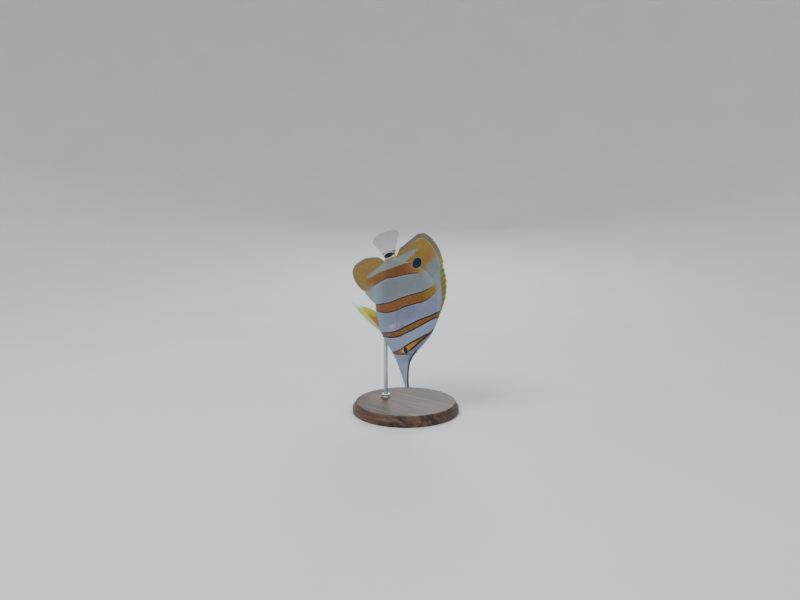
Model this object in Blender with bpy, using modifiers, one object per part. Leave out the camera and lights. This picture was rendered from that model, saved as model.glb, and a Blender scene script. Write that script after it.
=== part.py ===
"""Copperband butterflyfish, life size, nose down over a plain display stand.

The fish is modelled swimming level: local X runs from the snout tip to the tail, Y to its right flank
and Z to its back. An empty then stands it on its nose. Lengths of the fish are hundredths of its
standard length, so the whole animal follows one driving size.
"""

import math

import bmesh
import bpy
import numpy as np
from mathutils import Euler, Matrix, Vector

# Driving sizes, in metres
STANDARD_LENGTH = 0.120
UNIT = STANDARD_LENGTH / 100
PART_GAP = 0.0003
GAP = PART_GAP / UNIT
BASE_RADIUS = 0.047
BASE_HEIGHT = 0.009
ROD_RADIUS = 0.0018
SNOUT_CLEARANCE = 0.014

# Pose: how far the back tips up, how far the right flank tips up, and where the snout tip is
LEAN = math.radians(16.8)
BANK = math.radians(8.2)
SNOUT_TIP = Vector((0.009, -0.009, BASE_HEIGHT + SNOUT_CLEARANCE))
TAIL_TURN = math.radians(9)

# Profiles along the body: (distance from the snout tip, height or half thickness)
BACK = [(0, 1.1), (1.0, 1.7), (4, 2.0), (13, 3.7), (18, 5.6), (21, 7.9), (24.5, 12.2), (30, 21.6),
        (36, 29.6), (44, 36.0), (54, 40.4), (64, 41.6), (75, 38.0), (85, 28.5), (92, 15.5), (96, 7.8),
        (100, 4.8)]
KEEL = [(0, -1.1), (1.0, -1.7), (4, -2.3), (14, -4.4), (22, -6.4), (30, -10.2), (38, -15.0),
        (47, -19.0), (57, -20.5), (67, -20.3), (78, -16.8), (88, -10.4), (94, -6.0), (100, -4.6)]
HALF_THICKNESS = [(0, 0.9), (1.2, 1.3), (4, 1.35), (13, 2.3), (19, 3.7), (26, 5.5), (34, 6.8),
                  (45, 7.9), (57, 7.6), (70, 5.9), (82, 3.9), (92, 2.5), (100, 2.1)]
EDGE_HALF_THICKNESS = [(0, 0.4), (20, 0.7), (60, 0.8), (92, 0.75), (100, 0.8)]
# 0.5 is an ellipse across the body and 1 a lens with a sharp keel
SECTION_SHARPNESS = [(0, 0.5), (20, 0.5), (45, 0.72), (75, 0.78), (92, 0.6), (100, 0.5)]
WIDEST_AT = -0.15

# Edge of the gill cover and nape, by height from -1 at the keel to 1 at the back
GILL_EDGE = [(-1, 30.5), (-0.8, 35.5), (-0.4, 40.8), (-0.1, 40.6), (0.2, 38.4), (0.6, 39.6), (1, 43)]
GILL_PROUD = 0.35
SNOUT_END = 17.0
STALK_START = 94.0

MOUTH_CORNER = 4.2
MOUTH_HEIGHT = -0.35

EYE_CENTRE = (27.2, 7.2)
EYE_RADIUS = 3.9
EYE_HALF_THICKNESS = 2.4
EYE_SINK = 1.75
EYE_FORWARD = math.radians(14)
EYE_UP = math.radians(3)

NOSTRILS = [(21.3, 5.6), (22.7, 6.3)]
NOSTRIL_RADIUS = 0.36

# Fins: how thick the root and the edge are, and how far rays stand off the membrane
FIN_EDGE_HALF = 0.22
RAY_RIDGE = 0.24
SPINE_RIDGE = 0.42

COLOURS = {
    "flesh": (0.78, 0.78, 0.76),
    "fin": (0.80, 0.62, 0.22),
    "clear_fin": (0.72, 0.74, 0.74),
    "pelvic": (0.86, 0.82, 0.22),
    "eye": (0.02, 0.02, 0.03),
    "base": (0.09, 0.07, 0.06),
    "rod": (0.55, 0.56, 0.58),
}


def smooth_curve(knots):
    """A smooth function through the knots that never swings past them."""
    x, y = np.array(knots, float).T
    secant = np.diff(y) / np.diff(x)
    slope = np.concatenate([secant[:1], np.zeros(len(x) - 2), secant[-1:]])
    for i in range(1, len(x) - 1):
        before, after = secant[i - 1], secant[i]
        if before * after > 0:
            slope[i] = 2 * before * after / (before + after)

    def value(at):
        at = min(max(at, x[0]), x[-1])
        i = min(int(np.searchsorted(x, at, side="right")) - 1, len(x) - 2)
        width = x[i + 1] - x[i]
        t = (at - x[i]) / width
        return float(
            (2 * t**3 - 3 * t**2 + 1) * y[i]
            + (t**3 - 2 * t**2 + t) * width * slope[i]
            + (3 * t**2 - 2 * t**3) * y[i + 1]
            + (t**3 - t**2) * width * slope[i + 1]
        )

    return value


back = smooth_curve(BACK)
keel = smooth_curve(KEEL)
thickness = smooth_curve(HALF_THICKNESS)
edge_thickness = smooth_curve(EDGE_HALF_THICKNESS)
sharpness = smooth_curve(SECTION_SHARPNESS)
gill_edge = smooth_curve(GILL_EDGE)


def height_at(s, level):
    """Height of the body at s, from -1 at the keel to 1 at the back."""
    return keel(s) + (back(s) - keel(s)) * (level + 1) / 2


def level_at(s, height):
    return 2 * (height - keel(s)) / (back(s) - keel(s)) - 1


def half_thickness(s, level):
    """Half the body's thickness at s and that level."""
    reach = 1 - WIDEST_AT if level > WIDEST_AT else 1 + WIDEST_AT
    off = min(abs(level - WIDEST_AT) / reach, 1.0)
    edge = edge_thickness(s)
    return edge + (thickness(s) - edge) * (1 - off**2) ** sharpness(s)


def new_object(name, bm, colour, smooth_angle=40):
    """Makes the finished object, in metres, from a mesh in hundredths of the length."""
    bmesh.ops.scale(bm, vec=Vector((UNIT, UNIT, UNIT)), verts=bm.verts)
    bmesh.ops.recalc_face_normals(bm, faces=bm.faces)
    mesh = bpy.data.meshes.new(name)
    bm.to_mesh(mesh)
    bm.free()
    obj = bpy.data.objects.new(name, mesh)
    mesh.materials.append(material(colour))
    mesh.shade_smooth()
    mesh.set_sharp_from_angle(angle=math.radians(smooth_angle))
    return obj


def material(name):
    found = bpy.data.materials.get(name)
    if found:
        return found
    made = bpy.data.materials.new(name)
    made.use_nodes = True
    shader = made.node_tree.nodes["Principled BSDF"]
    shader.inputs["Base Color"].default_value = (*COLOURS[name], 1)
    shader.inputs["Roughness"].default_value = 0.25 if name in ("eye", "rod") else 0.45
    shader.inputs["Metallic"].default_value = 1.0 if name == "rod" else 0.0
    return made


def join_grid(bm, grid):
    """Fills a grid of vertices with triangles that all lean the same way."""
    for row, following in zip(grid, grid[1:]):
        for a, b, c, d in zip(row, row[1:], following[1:], following):
            for corners in ((a, b, c), (a, c, d)):
                if len(set(corners)) == 3:
                    bm.faces.new(corners)


def mirror(obj):
    """Adds the left half to a right half that is open at the middle plane."""
    other = obj.modifiers.new("left_half", "MIRROR")
    other.use_axis = (False, True, False)
    other.merge_threshold = 0.00001
    return obj


def body_length(name, front, rear, stations, levels, grow=0.0, proud=0.0):
    """One length of the body between two edges, each given as a function of the level.

    A positive grow makes a cutter that clears the body by that much all round. proud lifts the
    rear edge off the flank.
    """
    bm = bmesh.new()
    grid = []
    for i in range(stations + 1):
        share = i / stations
        line = []
        for j in range(levels + 1):
            level = -math.cos(math.pi * j / levels)
            s = front(level) + (rear(level) - front(level)) * share
            side = half_thickness(s, level) + proud * share**4 * (1 - level**4) + grow
            height = height_at(s, level) + grow * level
            line.append(bm.verts.new((s, side, height)))
        below = bm.verts.new((line[0].co.x, 0, line[0].co.z))
        above = bm.verts.new((line[-1].co.x, 0, line[-1].co.z))
        grid.append([below, *line, above])
    join_grid(bm, grid)
    for line in (grid[0], grid[-1]):
        middle = [bm.verts.new((v.co.x, 0, v.co.z)) for v in line[2:-2]]
        join_grid(bm, [line, [line[0], line[0], *middle, line[-1], line[-1]]])
    return mirror(new_object(name, bm, "flesh"))


def fin_columns(roots, tips, rays, between=0.82, ridge=RAY_RIDGE, dip=0.0):
    """Columns of a fin from its ray roots and tips: a flank, crest and flank for each ray.

    roots and tips are functions from 0 to 1 along the root and along the outer edge. between is
    the membrane's share of the fin, and dip pulls it in between the rays, as between spines.
    """
    half = (1 - between) / rays
    columns = [(0, 0, 1 - dip)]
    for k in range(rays):
        at = (k + 0.5) / rays
        columns += [(at - half, 0, 1 - dip / 2), (at, ridge, 1), (at + half, 0, 1 - dip / 2)]
        if dip and k < rays - 1:
            columns.append((at + 0.5 / rays, 0, 1 - dip))
    columns.append((1, 0, 1 - dip))
    return [(Vector(roots(p)), Vector(tips(p)), height, reach) for p, height, reach in columns]


def fin_sheet(name, columns, rows, root_half, colour="fin", bow=0.0):
    """A fin standing in the plane Y = 0, its rays raised alike on both faces.

    Each column is (root, tip, ridge, reach), in (along, up). bow bends the rays towards the tail.
    """
    bm = bmesh.new()
    grid = []
    for root, tip, ridge, reach in columns:
        ray = (tip - root) * reach
        aside = Vector((-ray.y, ray.x)) * bow if ray.y < 0 else Vector((ray.y, -ray.x)) * bow
        line = []
        for r in range(rows + 1):
            t = r / rows
            place = root + ray * t + aside * math.sin(math.pi * t)
            half = FIN_EDGE_HALF + (root_half - FIN_EDGE_HALF) * (1 - t) ** 1.5
            line.append(bm.verts.new((place.x, half + ridge * (1 - 0.45 * t), place.y)))
        grid.append(line)
    join_grid(bm, grid)
    border = [*grid[0], *(line[-1] for line in grid[1:-1]), *reversed(grid[-1]),
              *(line[0] for line in reversed(grid[1:-1]))]
    feet = [bm.verts.new((v.co.x, 0, v.co.z)) for v in border]
    join_grid(bm, [border + border[:1], feet + feet[:1]])
    return mirror(new_object(name, bm, colour, smooth_angle=70))


def path_through(points):
    """A smooth path through the points, as a function from 0 to 1 of the distance along it."""
    points = np.array(points, float)
    steps = np.linalg.norm(np.diff(points, axis=0), axis=1)
    along = np.concatenate([[0], np.cumsum(steps)]) / steps.sum()
    axes = [smooth_curve(list(zip(along, points[:, k]))) for k in range(points.shape[1])]
    return lambda share: tuple(axis(share) for axis in axes)


def edge_run(edge, start, end, lift):
    """Points along the back or the keel, held off it by lift, as a function from 0 to 1."""
    step = 0.2

    def point(share):
        s = start + (end - start) * share
        slope = (edge(s + step) - edge(s - step)) / (2 * step)
        off = Vector((-slope, 1)).normalized() * lift
        return s + off.x, edge(s) + off.y

    return point


def subtract(target, cutter):
    cut = target.modifiers.new("cut_" + cutter.name, "BOOLEAN")
    cut.operation = "DIFFERENCE"
    cut.solver = "EXACT"
    cut.object = cutter


def place(obj, collection, parent):
    collection.objects.link(obj)
    obj.parent = parent
    return obj


def as_cutter(obj, collection, parent):
    place(obj, collection, parent)
    obj.hide_render = True
    obj.display_type = "WIRE"
    return obj


def constant(value):
    return lambda level: value


def snout_tip(level):
    """The blunt front of the closed mouth."""
    return 0.6 * level**2


def ball(name, centre, radii, turn=(0, 0, 0), colour="eye", segments=20, rings=12):
    """A ball with three radii, its poles across the body."""
    bm = bmesh.new()
    bmesh.ops.create_uvsphere(bm, u_segments=segments, v_segments=rings, radius=1)
    spin = Euler(turn).to_matrix().to_4x4()
    poles = Matrix.Rotation(math.radians(90), 4, "X")
    matrix = Matrix.Translation(centre) @ spin @ Matrix.Diagonal((*radii, 1)) @ poles
    bmesh.ops.transform(bm, matrix=matrix, verts=bm.verts)
    return new_object(name, bm, colour)


def eye_frame(side):
    """Centre and turn of the eye on one side, 1 for the right and -1 for the left."""
    s, height = EYE_CENTRE
    flank = half_thickness(s, level_at(s, height))
    centre = Vector((s, side * (flank - EYE_SINK), height))
    return centre, (side * EYE_UP, 0, side * EYE_FORWARD)


def add_body(parts, cutters, pose):
    """Snout, lower jaw, head, trunk and tail stalk, and the cutters that give them their gaps."""
    snout = body_length("snout", snout_tip, constant(SNOUT_END - GAP), 9, 10)
    jaw = body_length("lower_jaw", snout_tip, constant(SNOUT_END - GAP), 9, 10)
    head = body_length("head", constant(SNOUT_END), gill_edge, 14, 16, proud=GILL_PROUD)
    trunk = body_length("trunk", lambda level: gill_edge(level) + GAP, constant(STALK_START), 20, 16)
    stalk = body_length("tail_stalk", constant(STALK_START + GAP), constant(100), 3, 12)
    for piece in (snout, jaw, head, trunk, stalk):
        place(piece, parts, pose)

    depth = 6.0
    jaw_space = box("jaw_space", (-2, MOUTH_CORNER + GAP), depth, (-depth, MOUTH_HEIGHT))
    jaw_rest = box("jaw_rest", (MOUTH_CORNER, SNOUT_END + 2), depth, (-depth * 2, depth * 2))
    jaw_top = box("jaw_top", (-2, MOUTH_CORNER + 1), depth, (MOUTH_HEIGHT - GAP, depth))
    for cutter in (jaw_space, jaw_rest, jaw_top):
        as_cutter(cutter, cutters, pose)
    subtract(snout, jaw_space)
    subtract(jaw, jaw_rest)
    subtract(jaw, jaw_top)

    for side, word in ((1, "right"), (-1, "left")):
        centre, turn = eye_frame(side)
        radii = (EYE_RADIUS, EYE_HALF_THICKNESS, EYE_RADIUS)
        place(ball(f"eye_{word}", centre, radii, turn), parts, pose)
        socket = ball(f"socket_{word}", centre, [r + GAP for r in radii], turn)
        subtract(head, as_cutter(socket, cutters, pose))
        for i, (s, height) in enumerate(NOSTRILS):
            flank = Vector((s, side * half_thickness(s, level_at(s, height)), height))
            pit = ball(f"nostril_{word}_{i}", flank, [NOSTRIL_RADIUS] * 3, segments=8, rings=6)
            subtract(head, as_cutter(pit, cutters, pose))

    shell = body_length("body_clearance", constant(20), constant(100), 30, 16, grow=GAP)
    return as_cutter(shell, cutters, pose)


def box(name, along, half_width, up):
    bm = bmesh.new()
    bmesh.ops.create_cube(bm, size=1)
    size = (along[1] - along[0], 2 * half_width, up[1] - up[0])
    centre = Vector((sum(along) / 2, 0, sum(up) / 2))
    bmesh.ops.transform(bm, matrix=Matrix.Translation(centre) @ Matrix.Diagonal((*size, 1)),
                        verts=bm.verts)
    return new_object(name, bm, "flesh")


# Outer edges of the unpaired fins, from front to back: (along, up)
SPINY_EDGE = [(48.5, 39.6), (52, 42.0), (57, 45.2), (63, 47.6), (70, 48.8), (77, 48.6), (81, 48.0)]
SOFT_DORSAL_EDGE = [(81.6, 47.9), (88, 47.0), (94, 45.2), (99.5, 42.2), (104, 38.6), (107.2, 34.2),
                    (107.8, 29.6), (106.2, 23.4), (104, 16.8), (102.4, 10.8)]
ANAL_SPINE_EDGE = [(71.5, -25.0), (75.5, -28.6), (80, -32.4)]
SOFT_ANAL_EDGE = [(80.6, -32.8), (86, -37.0), (91.5, -39.8), (96.5, -40.6), (100.6, -38.4),
                  (103.2, -32.4), (104.2, -24.8), (103.2, -17.6), (101.4, -11.4)]
TAIL_EDGE = [(12.6, 13.6), (15.6, 11.5), (17.0, 6.2), (17.4, 0.1), (17.0, -6.0),
             (15.6, -11.3), (12.6, -13.4)]  # from the tail stalk's end


def add_median_fins(parts, pose):
    """Dorsal, anal and tail fins, each standing 0.3 mm off the body edge that carries it."""
    edge = edge_thickness(70)
    dorsal_split, anal_split = 74.0, 74.0
    spiny = fin_columns(edge_run(back, 45.2, dorsal_split - GAP, GAP), path_through(SPINY_EDGE),
                        9, ridge=SPINE_RIDGE, between=0.6, dip=0.16)
    soft = fin_columns(edge_run(back, dorsal_split, 97.0, GAP), path_through(SOFT_DORSAL_EDGE), 29)
    spines = fin_columns(edge_run(keel, 67.0, anal_split - GAP, -GAP),
                         path_through(ANAL_SPINE_EDGE), 3, ridge=SPINE_RIDGE, between=0.6, dip=0.16)
    anal = fin_columns(edge_run(keel, anal_split, 96.6, -GAP), path_through(SOFT_ANAL_EDGE), 20)
    place(fin_sheet("dorsal_fin_spiny", spiny, 4, edge), parts, pose)
    place(fin_sheet("dorsal_fin_soft", soft, 5, edge, bow=0.03), parts, pose)
    place(fin_sheet("anal_fin_spiny", spines, 4, edge), parts, pose)
    place(fin_sheet("anal_fin_soft", anal, 5, edge, bow=0.03), parts, pose)

    tips = path_through(TAIL_EDGE)
    rays = fin_columns(lambda share: (0.0, 4.9 - 9.6 * share), tips, 17)
    tail = fin_sheet("tail_fin", rays, 5, thickness(100) * 0.8, colour="clear_fin")
    tail.location = Vector((100 + 2 * GAP, 0, 0)) * UNIT
    tail.rotation_euler = (0, 0, TAIL_TURN)
    place(tail, parts, pose)


# Paired fins: the root's place on the flank or the keel, and the outer edge from there
PECTORAL_ROOT = (43.0, 6.2)
PECTORAL_SPLAY = math.radians(12)
PELVIC_ROOT = (44.0, -17.0)
PELVIC_HALF_SPREAD = 1.5
PELVIC_TURN = {"right": (6, 0, 5), "left": (2, 4, 2)}  # splay, droop and swing, in degrees
PELVIC_EDGE = [(29.2, -23.0), (26.6, -18.9), (25.0, -15.0), (22.4, -10.6), (18.6, -5.6), (15.5, -1.7)]


def pectoral_tip(share, length=24.0):
    """The fan's edge, from the long upper rays to the short lower ones."""
    angle = math.radians(62 - 56 * share)
    reach = length * (1 - 0.86 * (share - 0.3) ** 2)
    return reach * math.cos(angle), reach * math.sin(angle)


def add_paired_fins(parts, pose, clearance):
    """Pectoral fins fanned along the flanks and pelvic fins below the breast, trimmed to the body."""
    s, height = PECTORAL_ROOT
    flank = half_thickness(s, level_at(s, height))
    for side, word in ((1, "right"), (-1, "left")):
        rays = fin_columns(lambda share: (0.0, 2.2 - 4.4 * share), pectoral_tip, 15, ridge=0.2)
        pectoral = fin_sheet(f"pectoral_fin_{word}", rays, 4, 0.9, colour="clear_fin")
        pectoral.location = Vector((s, side * (flank - 0.5), height)) * UNIT
        pectoral.rotation_euler = (0, 0, side * PECTORAL_SPLAY)

        rays = fin_columns(lambda share: (3.6 * share, 0.6 + 0.2 * share),
                           path_through(PELVIC_EDGE), 6, ridge=0.3, dip=0.04)
        pelvic = fin_sheet(f"pelvic_fin_{word}", rays, 5, 0.8, colour="pelvic", bow=-0.04)
        pelvic.location = Vector((PELVIC_ROOT[0], side * PELVIC_HALF_SPREAD, PELVIC_ROOT[1])) * UNIT
        splay, droop, swing = (math.radians(angle) for angle in PELVIC_TURN[word])
        pelvic.rotation_euler = (side * splay, droop, side * swing)
        for fin in (pectoral, pelvic):
            place(fin, parts, pose)
            subtract(fin, clearance)


def add_stand(parts, pose, clearance, rod_s=37.5):
    """A turned base and one rod up to the breast, whose top is cut to the keel."""
    profile = [(0, BASE_HEIGHT), (BASE_RADIUS - 0.004, BASE_HEIGHT),
               (BASE_RADIUS - 0.0025, BASE_HEIGHT - 0.0006), (BASE_RADIUS - 0.002, 0.0065),
               (BASE_RADIUS, 0.005), (BASE_RADIUS, 0.0008), (BASE_RADIUS - 0.0008, 0), (0, 0)]
    bm = bmesh.new()
    line = [bm.verts.new((x, 0, z)) for x, z in profile]
    for a, b in zip(line, line[1:]):
        bm.edges.new((a, b))
    mesh = bpy.data.meshes.new("stand_base")
    bm.to_mesh(mesh)
    bm.free()
    mesh.materials.append(material("base"))
    base = bpy.data.objects.new("stand_base", mesh)
    turn = base.modifiers.new("turn", "SCREW")
    turn.steps = turn.render_steps = 64
    turn.use_merge_vertices = True
    turn.merge_threshold = 0.00005
    place(base, parts, None)

    breast = pose.matrix_world @ (Vector((rod_s, 0, keel(rod_s))) * UNIT)
    low, high = BASE_HEIGHT + PART_GAP, breast.z + 0.004
    bpy.ops.mesh.primitive_cylinder_add(vertices=24, radius=ROD_RADIUS, depth=high - low,
                                        location=(breast.x, breast.y, (low + high) / 2))
    rod = bpy.context.object
    rod.name = rod.data.name = "stand_rod"
    for found in list(rod.users_collection):
        found.objects.unlink(rod)
    rod.data.materials.append(material("rod"))
    place(rod, parts, None)
    subtract(rod, clearance)


def pose_empty():
    """Stands the level fish on its nose: tail up, back to +X, then leant and banked."""
    tail = Vector((-math.sin(LEAN) * math.cos(BANK), math.sin(BANK),
                   math.cos(LEAN) * math.cos(BANK)))
    back_up = Vector((math.cos(LEAN), 0, math.sin(LEAN)))
    flank = back_up.cross(tail)
    turn = Matrix((tail, flank, back_up)).transposed().to_4x4()
    empty = bpy.data.objects.new("fish_pose", None)
    empty.matrix_world = Matrix.Translation(SNOUT_TIP) @ turn
    return empty


def main():
    for old in list(bpy.data.objects):
        bpy.data.objects.remove(old)
    parts = bpy.data.collections.new("copperband_butterflyfish")
    cutters = bpy.data.collections.new("cutters")
    for collection in (parts, cutters):
        bpy.context.scene.collection.children.link(collection)
    pose = pose_empty()
    parts.objects.link(pose)
    bpy.context.view_layer.update()
    clearance = add_body(parts, cutters, pose)
    add_median_fins(parts, pose)
    add_paired_fins(parts, pose, clearance)
    add_stand(parts, pose, clearance)


main()
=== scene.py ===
"""Looks of the copperband butterflyfish on its display stand.

The fish is built swimming level, as its solids are: s runs from the snout tip to the tail, w to the
right flank and h to the back, in hundredths of the standard length. One matrix then stands it all on
its nose, and every point keeps its s, w and h for the materials.
"""

import math

import bpy
import numpy as np
from mathutils import Euler, Matrix, Vector

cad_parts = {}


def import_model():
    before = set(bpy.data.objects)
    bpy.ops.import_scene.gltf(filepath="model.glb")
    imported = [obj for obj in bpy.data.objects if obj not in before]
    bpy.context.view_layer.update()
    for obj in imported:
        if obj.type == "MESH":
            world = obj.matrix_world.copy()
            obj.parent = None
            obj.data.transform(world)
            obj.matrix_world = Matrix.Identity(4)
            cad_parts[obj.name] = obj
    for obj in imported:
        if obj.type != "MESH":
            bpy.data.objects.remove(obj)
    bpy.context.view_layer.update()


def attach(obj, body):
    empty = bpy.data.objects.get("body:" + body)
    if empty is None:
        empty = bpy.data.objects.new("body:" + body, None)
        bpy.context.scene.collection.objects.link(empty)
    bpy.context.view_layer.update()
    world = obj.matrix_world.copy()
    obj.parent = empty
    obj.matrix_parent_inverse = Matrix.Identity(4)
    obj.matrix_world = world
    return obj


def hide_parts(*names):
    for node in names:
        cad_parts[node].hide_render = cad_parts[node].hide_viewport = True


# Sizes of the solids, in metres
STANDARD_LENGTH = 0.120
UNIT = STANDARD_LENGTH / 100
GAP = 0.0003 / UNIT
BASE_RADIUS = 0.047
BASE_HEIGHT = 0.009
ROD_RADIUS = 0.0018
ROD_AT = 37.5
SNOUT_TIP = Vector((0.009, -0.009, BASE_HEIGHT + 0.014))
LEAN = math.radians(16.8)
BANK = math.radians(8.2)
SIDES = ((1, "right"), (-1, "left"))

# Profiles along the body: (distance from the snout tip, height or half thickness)
BACK = [(0, 1.1), (1.0, 1.7), (4, 2.0), (13, 3.7), (18, 5.6), (21, 7.9), (24.5, 12.2), (30, 21.6),
        (36, 29.6), (44, 36.0), (54, 40.4), (64, 41.6), (75, 38.0), (85, 28.5), (92, 15.5), (96, 7.8),
        (100, 4.8)]
KEEL = [(0, -1.1), (1.0, -1.7), (4, -2.3), (14, -4.4), (22, -6.4), (30, -10.2), (38, -15.0),
        (47, -19.0), (57, -20.5), (67, -20.3), (78, -16.8), (88, -10.4), (94, -6.0), (100, -4.6)]
HALF_THICKNESS = [(0, 0.9), (1.2, 1.3), (4, 1.35), (13, 2.3), (19, 3.7), (26, 5.5), (34, 6.8),
                  (45, 7.9), (57, 7.6), (70, 5.9), (82, 3.9), (92, 2.5), (100, 2.1)]
EDGE_HALF_THICKNESS = [(0, 0.4), (20, 0.7), (60, 0.8), (92, 0.75), (100, 0.8)]
SECTION_SHARPNESS = [(0, 0.5), (20, 0.5), (45, 0.72), (75, 0.78), (92, 0.6), (100, 0.5)]
WIDEST_AT = -0.15
GILL_EDGE = [(-1, 30.5), (-0.8, 35.5), (-0.4, 40.8), (-0.1, 40.6), (0.2, 38.4), (0.6, 39.6), (1, 43)]
SNOUT_END = 17.0
STALK_START = 94.0
BODY_END = 101.2

# Head: lines and openings, as (s, h)
MOUTH_CORNER = 4.2
MOUTH_HEIGHT = -0.35
EYE_CENTRE = (27.2, 7.2)
EYE_RADII = (3.9, 2.4, 3.9)
EYE_SINK = 1.75
EYE_BULGE = 0.16
EYE_FORWARD = math.radians(14)
EYE_UP = math.radians(3)
EYE_OPENING = 2.75
NOSTRILS = [(21.6, 6.2), (22.9, 6.9)]
NOSTRIL_RADIUS = 0.36
NOSTRIL_CLEARANCE = 1.1
PREOPERCLE = [(33.2, 8.5), (34.3, 4.0), (34.4, -1.0), (33.2, -5.2), (29.8, -7.6), (25.4, -6.6)]
OPERCLE_SEAM = [(34.4, -1.5), (36.6, -4.0), (38.4, -8.0)]
LATERAL_LINE = [(40.8, 13), (46, 21), (54, 28.2), (62, 30.8), (70, 28.6), (78, 22), (85, 13.5),
                (90, 6.5), (96, 1.2)]

# Paired fins and tail fin: how they are set on the body
TAIL_TURN = math.radians(9)
PECTORAL_ROOT = (43.0, 6.2)
PECTORAL_SPLAY = math.radians(12)
PECTORAL_LENGTH = 24.0
PELVIC_ROOT = (44.0, -17.0)
PELVIC_HALF_SPREAD = 1.5
PELVIC_TURN = {"right": (6, 0, 5), "left": (2, 4, 2)}  # splay, droop and swing, in degrees

# Coat: how far the skin lies inside the solids, and the sizes of a scale
SKIN_INSET = 0.14
SCALE_THICKNESS = 0.035
SCALE_ROOT_SINK = 0.05
SCALE_TIP_LIFT = 0.05
SCALE_PITCH = [(17, 0.72), (30, 0.86), (42, 1.15), (60, 1.30), (80, 1.20), (92, 0.95), (101, 0.8)]
LARGEST_PITCH = 1.3
ROW_PITCH_RATIO = 1.22
LENGTH_RATIO = 1.80
HALF_WIDTH_RATIO = 0.60
ROOT_SHARE = 0.24  # of a scale's length, hidden ahead of its root
SKIN_START = 0.06
COAT_START = 18.5
FIN_SCALE_PITCH = 0.98
FIN_COAT_REACH = 0.52

# OFBake: the flat map from s and the distance across to 0 to 1, and the size of a scale's patch
MAP_LENGTH = 112
MAP_LOWEST = -48
MAP_HEIGHT = 100
MAP_PATCH = 0.003

# Outer edges of the fins, from front to back
SPINY_EDGE = [(48.5, 39.6), (52, 42.0), (57, 45.2), (63, 47.6), (70, 48.8), (77, 48.6), (82.4, 47.7)]
SOFT_DORSAL_EDGE = [(81.6, 47.9), (88, 47.0), (94, 45.2), (99.5, 42.2), (104, 38.6), (107.2, 34.2),
                    (107.8, 29.6), (106.2, 23.4), (104, 16.8), (102.4, 10.8)]
ANAL_SPINE_EDGE = [(71.5, -25.0), (75.5, -28.6), (81.4, -33.2)]
SOFT_ANAL_EDGE = [(80.6, -32.8), (86, -37.0), (91.5, -39.8), (96.5, -40.6), (100.6, -38.4),
                  (103.2, -32.4), (104.2, -24.8), (103.2, -17.6), (101.4, -11.4)]
TAIL_EDGE = [(12.6, 13.6), (15.6, 11.5), (17.0, 6.2), (17.4, 0.1), (17.0, -6.0), (15.6, -11.3),
             (12.6, -13.4)]
PELVIC_EDGE = [(29.2, -23.0), (26.6, -18.9), (25.0, -15.0), (22.4, -10.6), (18.6, -5.6), (15.5, -1.7)]

# Counts of the spines and rays
DORSAL_SPINES = 9
DORSAL_RAYS = 29
ANAL_SPINES = 3
ANAL_RAYS = 20
TAIL_RAYS = 17
PECTORAL_RAYS = 15
PELVIC_RAYS = 6

# Feet of the dorsal and anal fins: where they run, and how far they reach into the body
DORSAL_ROOT = (45.2, 97.0)
ANAL_ROOT = (67.0, 96.6)
FIN_SPLIT = 74.0
WEB_OVERLAP = 0.7
SHOULDER_DEPTH = 4.0
SHOULDER_FADE = 3.6
FOOT_SINK = 0.08

# Stand, in metres; the mouldings are rounds (inset of the centre, its height, radius, start, end)
BASE_MOULDINGS = [(0.0009, 0.0009, 0.0009, -90, 0), (0.0012, 0.0040, 0.0012, 0, 80),
                  (0.0008, 0.0064, 0.0012, 262, 182), (0.0038, 0.0076, 0.0014, 0, 90)]
ROD_BEVEL = 0.0004
ROD_TOP_SLOPE = 0.90
COLLAR_HEIGHT = 0.0032
COLLAR_RADIUS = ROD_RADIUS + 0.0022

# Bars across the flank: (height, s) along the front and along the rear edge
EYE_BAR = ([(-8, 26.8), (-5.4, 26.4), (-2.4, 25.4), (3, 24.4), (6.7, 24.6), (10.1, 25.8), (13.9, 27.4),
            (20.5, 30.8), (24, 32.5), (27.2, 34.5), (30.6, 37.0), (34, 39.4)],
           [(-8, 27.2), (-5.4, 27.6), (1.0, 28.2), (4.8, 28.9), (9.2, 30.5), (13, 31.6), (17.9, 32.9),
            (22.1, 34.1), (25.4, 35.1), (28.4, 36.1), (30.7, 37.6), (34, 40)])
GILL_BAR = ([(-22, 41.8), (-15, 40.8), (-4, 38.0), (4, 37.2), (11.5, 38.4), (18.4, 39.8), (25, 41.6),
             (31, 43.6), (38, 45.6)],
            [(-22, 45.0), (-14, 43.8), (-2.7, 42.0), (5.3, 42.2), (12.8, 43.7), (19.6, 45.1),
             (26, 46.4), (31.7, 47.2), (38.6, 49.1), (44, 51.0)])
MIDDLE_BAR = ([(-22, 62.4), (-17, 60.6), (-6.1, 56.8), (4.7, 56.0), (14.2, 57.0), (22.8, 57.5),
               (29.4, 57.7), (35.9, 59.9), (38.5, 61.8), (48, 68)],
              [(-22, 66.4), (-11.7, 64.9), (0.1, 63.7), (10.1, 64.5), (23.4, 64.9), (30.2, 65.3),
               (35.4, 66.6), (39.6, 69.3), (42.8, 71.6), (48, 75.5)])
REAR_ZONE_FRONT = [(-40, 74), (-30.7, 77.1), (-25.8, 78.7), (-20, 80.4), (-7.4, 82.0), (-3, 82.3),
                   (5.2, 81.2), (12.6, 80.8), (19.5, 80.2), (26, 79.1), (28.7, 79.0), (31.9, 81.1),
                   (34.7, 83.5), (39, 86.0), (42.7, 89.9), (48, 93)]
REAR_BAR_END = [(-24, 90.2), (-16.4, 89.8), (-7, 89.2), (9, 89.4), (21, 88.9), (30, 87)]
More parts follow.
